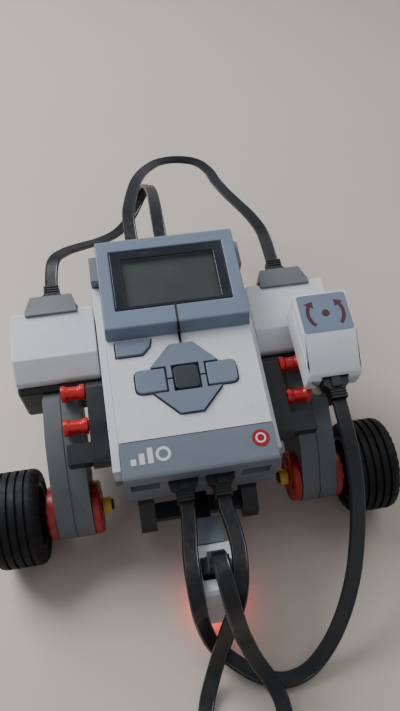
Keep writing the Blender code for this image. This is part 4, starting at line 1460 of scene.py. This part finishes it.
@dataclass
class DriveMotor:
    """One geared motor, in the deck's frame; its middle is at middle_x on its side."""

    side: Side
    middle_x: float = 56.0
    half_width: float = 19.25
    arm_half: float = 8.0
    arm_outline: list[Point2] = field(default_factory=lambda: (
        [(49.7, -3), (49.7, 22), (44.2, 27.5), (24, 27.5), (5, 20.5)] + arc(12.3, 135, 275, 12) + [(20, -9.5)]
    ))
    arm_holes: tuple[Point2, ...] = ((24, 12), (32, 12), (40, 12), (32, 4))
    cap_corner: tuple[Point2, ...] = ((12.6, 87.6), (12.6, 97), (9.4, 97), (9.6, 96.2), (12.0, 87.6))
    pin_end: Point2 = (60.4, 30.5)
    side_grooves: tuple[float, ...] = (2.5, 7.5, 12.5, 17.5)
    groove_y: Point2 = (55.0, 82.0)
    groove_width: float = 1.1
    groove_depth: float = 0.8

    def build(self) -> None:
        """Make the motor."""
        name, middle = self.side.label, self.side.value * self.middle_x
        refine(f"{name}_motor_hood", FINISHES.shell_white, 0.35, sharp=22)
        dress(f"{name}_motor_can", FINISHES.steel)
        self.build_body(name, middle)
        self.build_cap(name, middle)
        self.build_arm(name, middle)
        if self.side is Side.RIGHT:
            cap = Shape().stepped([(26.2, 2.3), (28.1, 2.3), (28.5, 1.9)], 24, Along.Z, (*self.pin_end, 0))
            detail("arm_pin_end", cap, FINISHES.pin_tan)

    def build_body(self, name: str, middle: float) -> None:
        """Finish the motor's body, with grooves along its outer side.

        Args:
            name: the side's word.
            middle: the motor's middle in X.
        """
        face = middle + self.side.value * self.half_width
        grooves, deep = Shape(), self.groove_depth
        front, back = self.groove_y
        for height in self.side_grooves:
            grooves.block((face - deep, front, height), (face + deep, back, height + self.groove_width))
        refine(f"{name}_motor_body", FINISHES.motor_dark, 0.3, [grooves.object("side_grooves_cut", DECK)])

    def build_cap(self, name: str, middle: float) -> None:
        """Finish the rear cap, narrower at its back.

        Args:
            name: the side's word.
            middle: the motor's middle in X.
        """
        cut = Shape()
        for outline in (self.cap_corner, mirrored(self.cap_corner)):
            cut.prism([(middle + across, along) for across, along in outline], -1, 38)
        refine(f"{name}_motor_rear_cap", FINISHES.motor_grey, 0.5, [cut.object("cap_corner_cut", DECK)])

    def build_arm(self, name: str, middle: float) -> None:
        """Finish the gear arm, with its parting line and pin holes.

        Args:
            name: the side's word.
            middle: the motor's middle in X.
        """
        line = Shape().seam(self.arm_outline, middle, 0.6, 0.45, Along.X)
        cuts = [line.object("arm_line_cut", DECK)]
        for along, up in self.arm_holes:
            hole = pin_hole((middle, along, up), Along.X, self.arm_half)
            cuts.append(hole.object("arm_hole_cut", DECK))
        refine(f"{name}_motor_arm", FINISHES.motor_grey, 0.8, cuts)


@dataclass
class Wheel:
    """One wheel with its hub and axle, turning about the deck's X axis."""

    side: Side
    middle_x: float = 81.0
    tread_steps: int = 96
    tread: float = 21.6
    tread_floor: float = 20.5
    tread_grooves: tuple[float, ...] = (-5.4, -1.8, 1.8, 5.4)
    rim_radius: float = 15.2
    rim_half: float = 10.0
    barrel: float = 13.4
    web_half: float = 1.6
    boss_half: float = 4.0
    boss_radius: float = 4.6
    bore: float = 3.1
    windows: int = 6
    window_radius: float = 2.7
    window_place: float = 9.0
    hub_x: float = 56.0
    hub_faces: Point2 = (8.3, 12.0)
    hub_hole_place: float = 5.66

    @property
    def body(self) -> str:
        """The body that the wheel's pieces ride on."""
        return f"{self.side.label}_wheel"

    def build(self) -> None:
        """Make the wheel."""
        name = self.side.label
        self.build_hub(name)
        self.build_tyre(name)
        self.build_rim(name)
        refine(f"{name}_cross_axle", FINISHES.beam_black, 0.25, body=self.body)
        refine(f"{name}_half_bush", FINISHES.bush_yellow, 0.4, body=self.body)

    def build_hub(self, name: str) -> None:
        """Finish the red hub, with four pin holes through each flange.

        Args:
            name: the side's word.
        """
        cuts = []
        place = self.hub_hole_place
        for face in (-1, 1):
            middle = self.hub_x * self.side.value + face * sum(self.hub_faces) / 2
            for across, up in ((place, place), (-place, place), (-place, -place), (place, -place)):
                hole = pin_hole((middle, across, up), Along.X, 1.85, 1.9, 2.35, 0.5)
                cuts.append(hole.object("hub_hole_cut", DECK))
        refine(f"{name}_drive_hub", FINISHES.hub_red, 0.3, cuts, self.body)

    def build_tyre(self, name: str) -> None:
        """Make the tyre, with grooves round its tread and notched shoulders.

        Args:
            name: the side's word.
        """
        half = [(-10.4, 15.5), (-11, 16.5), (-10.7, 19.4), (-9.5, 20.9), (-7.5, self.tread)]
        outer = list(half)
        for groove in self.tread_grooves:
            outer += [(groove - 0.6, self.tread), (groove - 0.45, self.tread_floor)]
            outer += [(groove + 0.45, self.tread_floor), (groove + 0.6, self.tread)]
        outer += [(-place, radius) for place, radius in reversed(half)]
        notched = {2, 3, len(outer) - 3, len(outer) - 4}
        tyre = Shape().turned(
            outer, self.tread_steps, Along.X, (self.side.value * self.middle_x, 0, 0),
            lambda index, step: 0.6 if index in notched and step % 3 == 0 else 0.0,
        )
        made = shape_up(tyre.object(f"{name}_tyre_treaded", DECK), sharp=28)
        settle(made, FINISHES.tyre, self.body, f"{name}_tyre")

    def build_rim(self, name: str) -> None:
        """Make the rim: barrel, web with round windows and boss.

        Args:
            name: the side's word.
        """
        at = (self.side.value * self.middle_x, 0, 0)
        edge, web, boss = self.rim_half, self.web_half, self.boss_half
        loop = [
            (-edge, self.barrel), (-edge, self.rim_radius), (-edge + 1.5, self.rim_radius),
            (-edge + 1.9, self.rim_radius - 0.4), (edge - 1.9, self.rim_radius - 0.4),
            (edge - 1.5, self.rim_radius), (edge, self.rim_radius), (edge, self.barrel),
            (web + 0.8, self.barrel - 0.6), (web, self.barrel - 1.6), (web, self.boss_radius + 0.6),
            (boss, self.boss_radius), (boss, self.bore), (-boss, self.bore), (-boss, self.boss_radius),
            (-web, self.boss_radius + 0.6), (-web, self.barrel - 1.6), (-web - 0.8, self.barrel - 0.6),
        ]
        rim = Shape().turned(loop, 64, Along.X, at)
        cuts = []
        for number in range(self.windows):
            turn = math.tau * (number + 0.5) / self.windows
            spot = (at[0], self.window_place * math.cos(turn), self.window_place * math.sin(turn))
            window = Shape().rod(self.window_radius, -4, 4, spot, Along.X, 24)
            cuts.append(window.object("rim_window_cut", DECK))
        made = shape_up(rim.object(f"{name}_rim_fine", DECK), cuts, 0.2)
        settle(made, FINISHES.beam_black, self.body, f"{name}_rim")


@dataclass
class Frame:
    """The beams: one on each side, the front frame and the sensor's arm, with the pins that hold them."""

    beam_x: float = 40.0
    beam_half: float = 3.7
    beam_z: float = 32.0
    open_holes: tuple[float, ...] = (28.0, 36.0, 44.0)
    front_holes: tuple[float, ...] = (-28.0, -12.0, 12.0, 28.0)
    front_z: float = 1.7
    arm_holes: Point2 = (-18.0, -10.0)
    arm_z: float = 23.1
    arm_ends: Point2 = (-40.0, 0.0)
    head_split: float = -24.15
    head_hole: Point2 = (-30.0, 35.0)
    head_half: float = 5.5

    def build(self) -> None:
        """Make the beams and pins."""
        for side in Side:
            self.build_side_beam(side)
        self.build_front_frame()
        self.build_sensor_arm()

    def build_side_beam(self, side: Side) -> None:
        """Finish one side's beam and its pins.

        Args:
            side: the side.
        """
        cuts = []
        for along in self.open_holes:
            hole = pin_hole((side.value * self.beam_x, along, self.beam_z), Along.X, self.beam_half)
            cuts.append(hole.object("beam_hole_cut", DECK))
        refine(f"{side.label}_side_beam", FINISHES.beam_black, 0.5, cuts, segments=3)
        for place in ("front", "rear"):
            refine(f"{side.label}_{place}_pin", FINISHES.pin_red, 0.25)

    def build_front_frame(self) -> None:
        """Finish the front frame, with blind pin holes in its front face."""
        cuts = []
        for across in self.front_holes:
            hole = Shape().stepped([(-2.2, 2.45), (2.2, 2.45)], 24, Along.Y, (across, 0, self.front_z))
            cuts.append(hole.object("frame_hole_cut", DECK))
        refine("front_frame", FINISHES.beam_black, 0.4, cuts)

    def build_sensor_arm(self) -> None:
        """Finish the arm that carries the colour sensor: a black beam and its grey head behind the sensor."""
        (front, back), split = self.arm_ends, self.head_split
        cuts = [Shape().block((-8, front, 10), (8, split, 50)).object("head_cut", FLOOR)]
        for along in self.arm_holes:
            hole = pin_hole((0, along, self.arm_z), Along.X, self.beam_half)
            cuts.append(hole.object("arm_hole_cut", FLOOR))
        refine("sensor_arm", FINISHES.beam_black, 0.5, cuts)
        behind = Shape().block((-8, split, 10), (8, back, 50)).object("beam_cut", FLOOR)
        hole = pin_hole((0, *self.head_hole), Along.X, self.head_half).object("head_hole_cut", FLOOR)
        head = shape_up(copy_of("sensor_arm"), [behind, hole], 0.6)
        head.name = "sensor_arm_head"
        settle(head, FINISHES.case_grey, stands_for="sensor_arm")


@dataclass
class Caster:
    """The ball caster below the controller's rear."""

    def build(self) -> None:
        """Make the caster."""
        dress("caster_ball", FINISHES.steel)
        refine("caster_cup", FINISHES.beam_black, 0.5)
        refine("caster_mount", FINISHES.beam_black, 0.4)


@dataclass
class Gyro:
    """The turn sensor in the deck's frame, with its printed label."""

    middle: Point2 = (64.3, 55.2)
    top: float = 56.0
    ink: float = 0.12
    label: float = 0.15
    arrow_radii: Point2 = (7.2, 8.8)
    groove_y: Point2 = (32.0, 63.0)
    groove_z: Point2 = (49.6, 50.6)

    def build(self) -> None:
        """Make the sensor."""
        grooves = Shape()
        (front, back), (low, high) = self.groove_y, self.groove_z
        for left in (51.0, 75.5):
            grooves.block((left, front, low), (left + 1.5, back, high))
        cuts = [grooves.object("gyro_groove_cut", DECK)]
        refine("gyro_housing", FINISHES.shell_white, 0.7, cuts, segments=3)
        refine("gyro_mount", FINISHES.beam_black, 0.5)
        plate = Shape().prism(rounded_rectangle((52.9, 46.2), (75.1, 64.9), 1.4), self.top - 0.1,
                              self.top + self.label)
        detail("gyro_label", plate, FINISHES.bezel_grey)
        low = self.top + self.label - 0.02
        dot = Shape().rod(1.7, low, low + self.ink, (*self.middle, 0), Along.Z, 28)
        detail("gyro_label_dot", dot, FINISHES.arrow_red)
        arrows = Shape()
        for outline in (self.arrow(-45, 30), self.arrow(225, 150)):
            arrows.prism(outline, low, low + self.ink)
        detail("gyro_label_arrows", arrows, FINISHES.arrow_red)

    def arrow(self, start: float, end: float, head: float = 22, flare: float = 1.5) -> list[Point2]:
        """Outline a curved arrow about the label's middle.

        Args:
            start: the tail's angle in degrees.
            end: the head's first angle in degrees.
            head: how far the head reaches beyond it in degrees.
            flare: how much wider the head is on each side.

        Returns:
            The arrow's outline.
        """
        inner, outer = self.arrow_radii
        tip = end + math.copysign(head, end - start)
        return (
            arc(inner, start, end, 10, self.middle)
            + arc(inner - flare, end, end, 1, self.middle)[:1]
            + arc((inner + outer) / 2, tip, tip, 1, self.middle)[:1]
            + arc(outer + flare, end, end, 1, self.middle)[:1]
            + arc(outer, end, start, 10, self.middle)
        )


@dataclass
class ColourSensor:
    """The downward-looking colour sensor, in the floor's frame."""

    middle_y: float = -46.5
    half_width: float = 11.0
    front: float = -57.0
    back: float = -36.0
    line_z: float = 30.0
    ring_radii: Point2 = (6.9, 8.6)
    ring_z: Point2 = (7.4, 8.0)

    def build(self) -> None:
        """Make the sensor."""
        plan = [(-self.half_width, self.front), (self.half_width, self.front),
                (self.half_width, self.back), (-self.half_width, self.back)]
        line = Shape().seam(plan, self.line_z, 0.6, 0.5, Along.Z)
        refine("colour_sensor_housing", FINISHES.shell_white, 1.0, [line.object("sensor_line_cut", FLOOR)],
               segments=3)
        dress("colour_sensor_lens", FINISHES.lamp)
        ring = flat_ring((0, self.middle_y), *self.ring_radii, *self.ring_z)
        detail("colour_sensor_ring", ring, FINISHES.gap_black, FLOOR, 0.15)


def cables() -> list[FlatCable]:
    """Describe the four flat cables.

    Returns:
        The cables, each with its two plugs.
    """
    socket_z, front, back = 36.0, -4.0, 108.0
    gyro = FlatCable(
        "gyro_cable",
        Plug("gyro_plug_at_controller", DECK, (-7.8, front, socket_z), Facing.FRONT),
        Plug("plug_at_gyro", DECK, (64, 28, 42.5), Facing.FRONT),
        GYRO_ROUTE,
    )
    eye = FlatCable(
        "colour_sensor_cable",
        Plug("colour_sensor_plug_at_controller", DECK, (7.8, front, socket_z), Facing.FRONT),
        Plug("plug_at_colour_sensor", FLOOR, (0, -46.5, 44), Facing.UP),
        COLOUR_ROUTE,
    )
    right = FlatCable(
        "right_motor_cable",
        Plug("right_plug_at_controller", DECK, (-14, back, socket_z), Facing.BACK),
        Plug("right_plug_at_motor", DECK, (56, 96, 24), Facing.BACK),
        RIGHT_ROUTE,
    )
    left = FlatCable(
        "left_motor_cable",
        Plug("left_plug_at_controller", DECK, (0.4, back, socket_z), Facing.BACK),
        Plug("left_plug_at_motor", DECK, (-56, 96, 24), Facing.BACK),
        LEFT_ROUTE,
    )
    return [gyro, eye, right, left]


def main() -> None:
    """Build the looks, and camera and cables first."""
    logging.basicConfig(level=logging.INFO, format="%(levelname)s %(message)s")
    Studio().build()
    for cable in cables():
        cable.build()
    assemblies = [Controller(), *(DriveMotor(side) for side in Side), *(Wheel(side) for side in Side),
                  Frame(), Caster(), Gyro(), ColourSensor()]
    for assembly in assemblies:
        assembly.build()


if __name__ == "__main__":
    main()
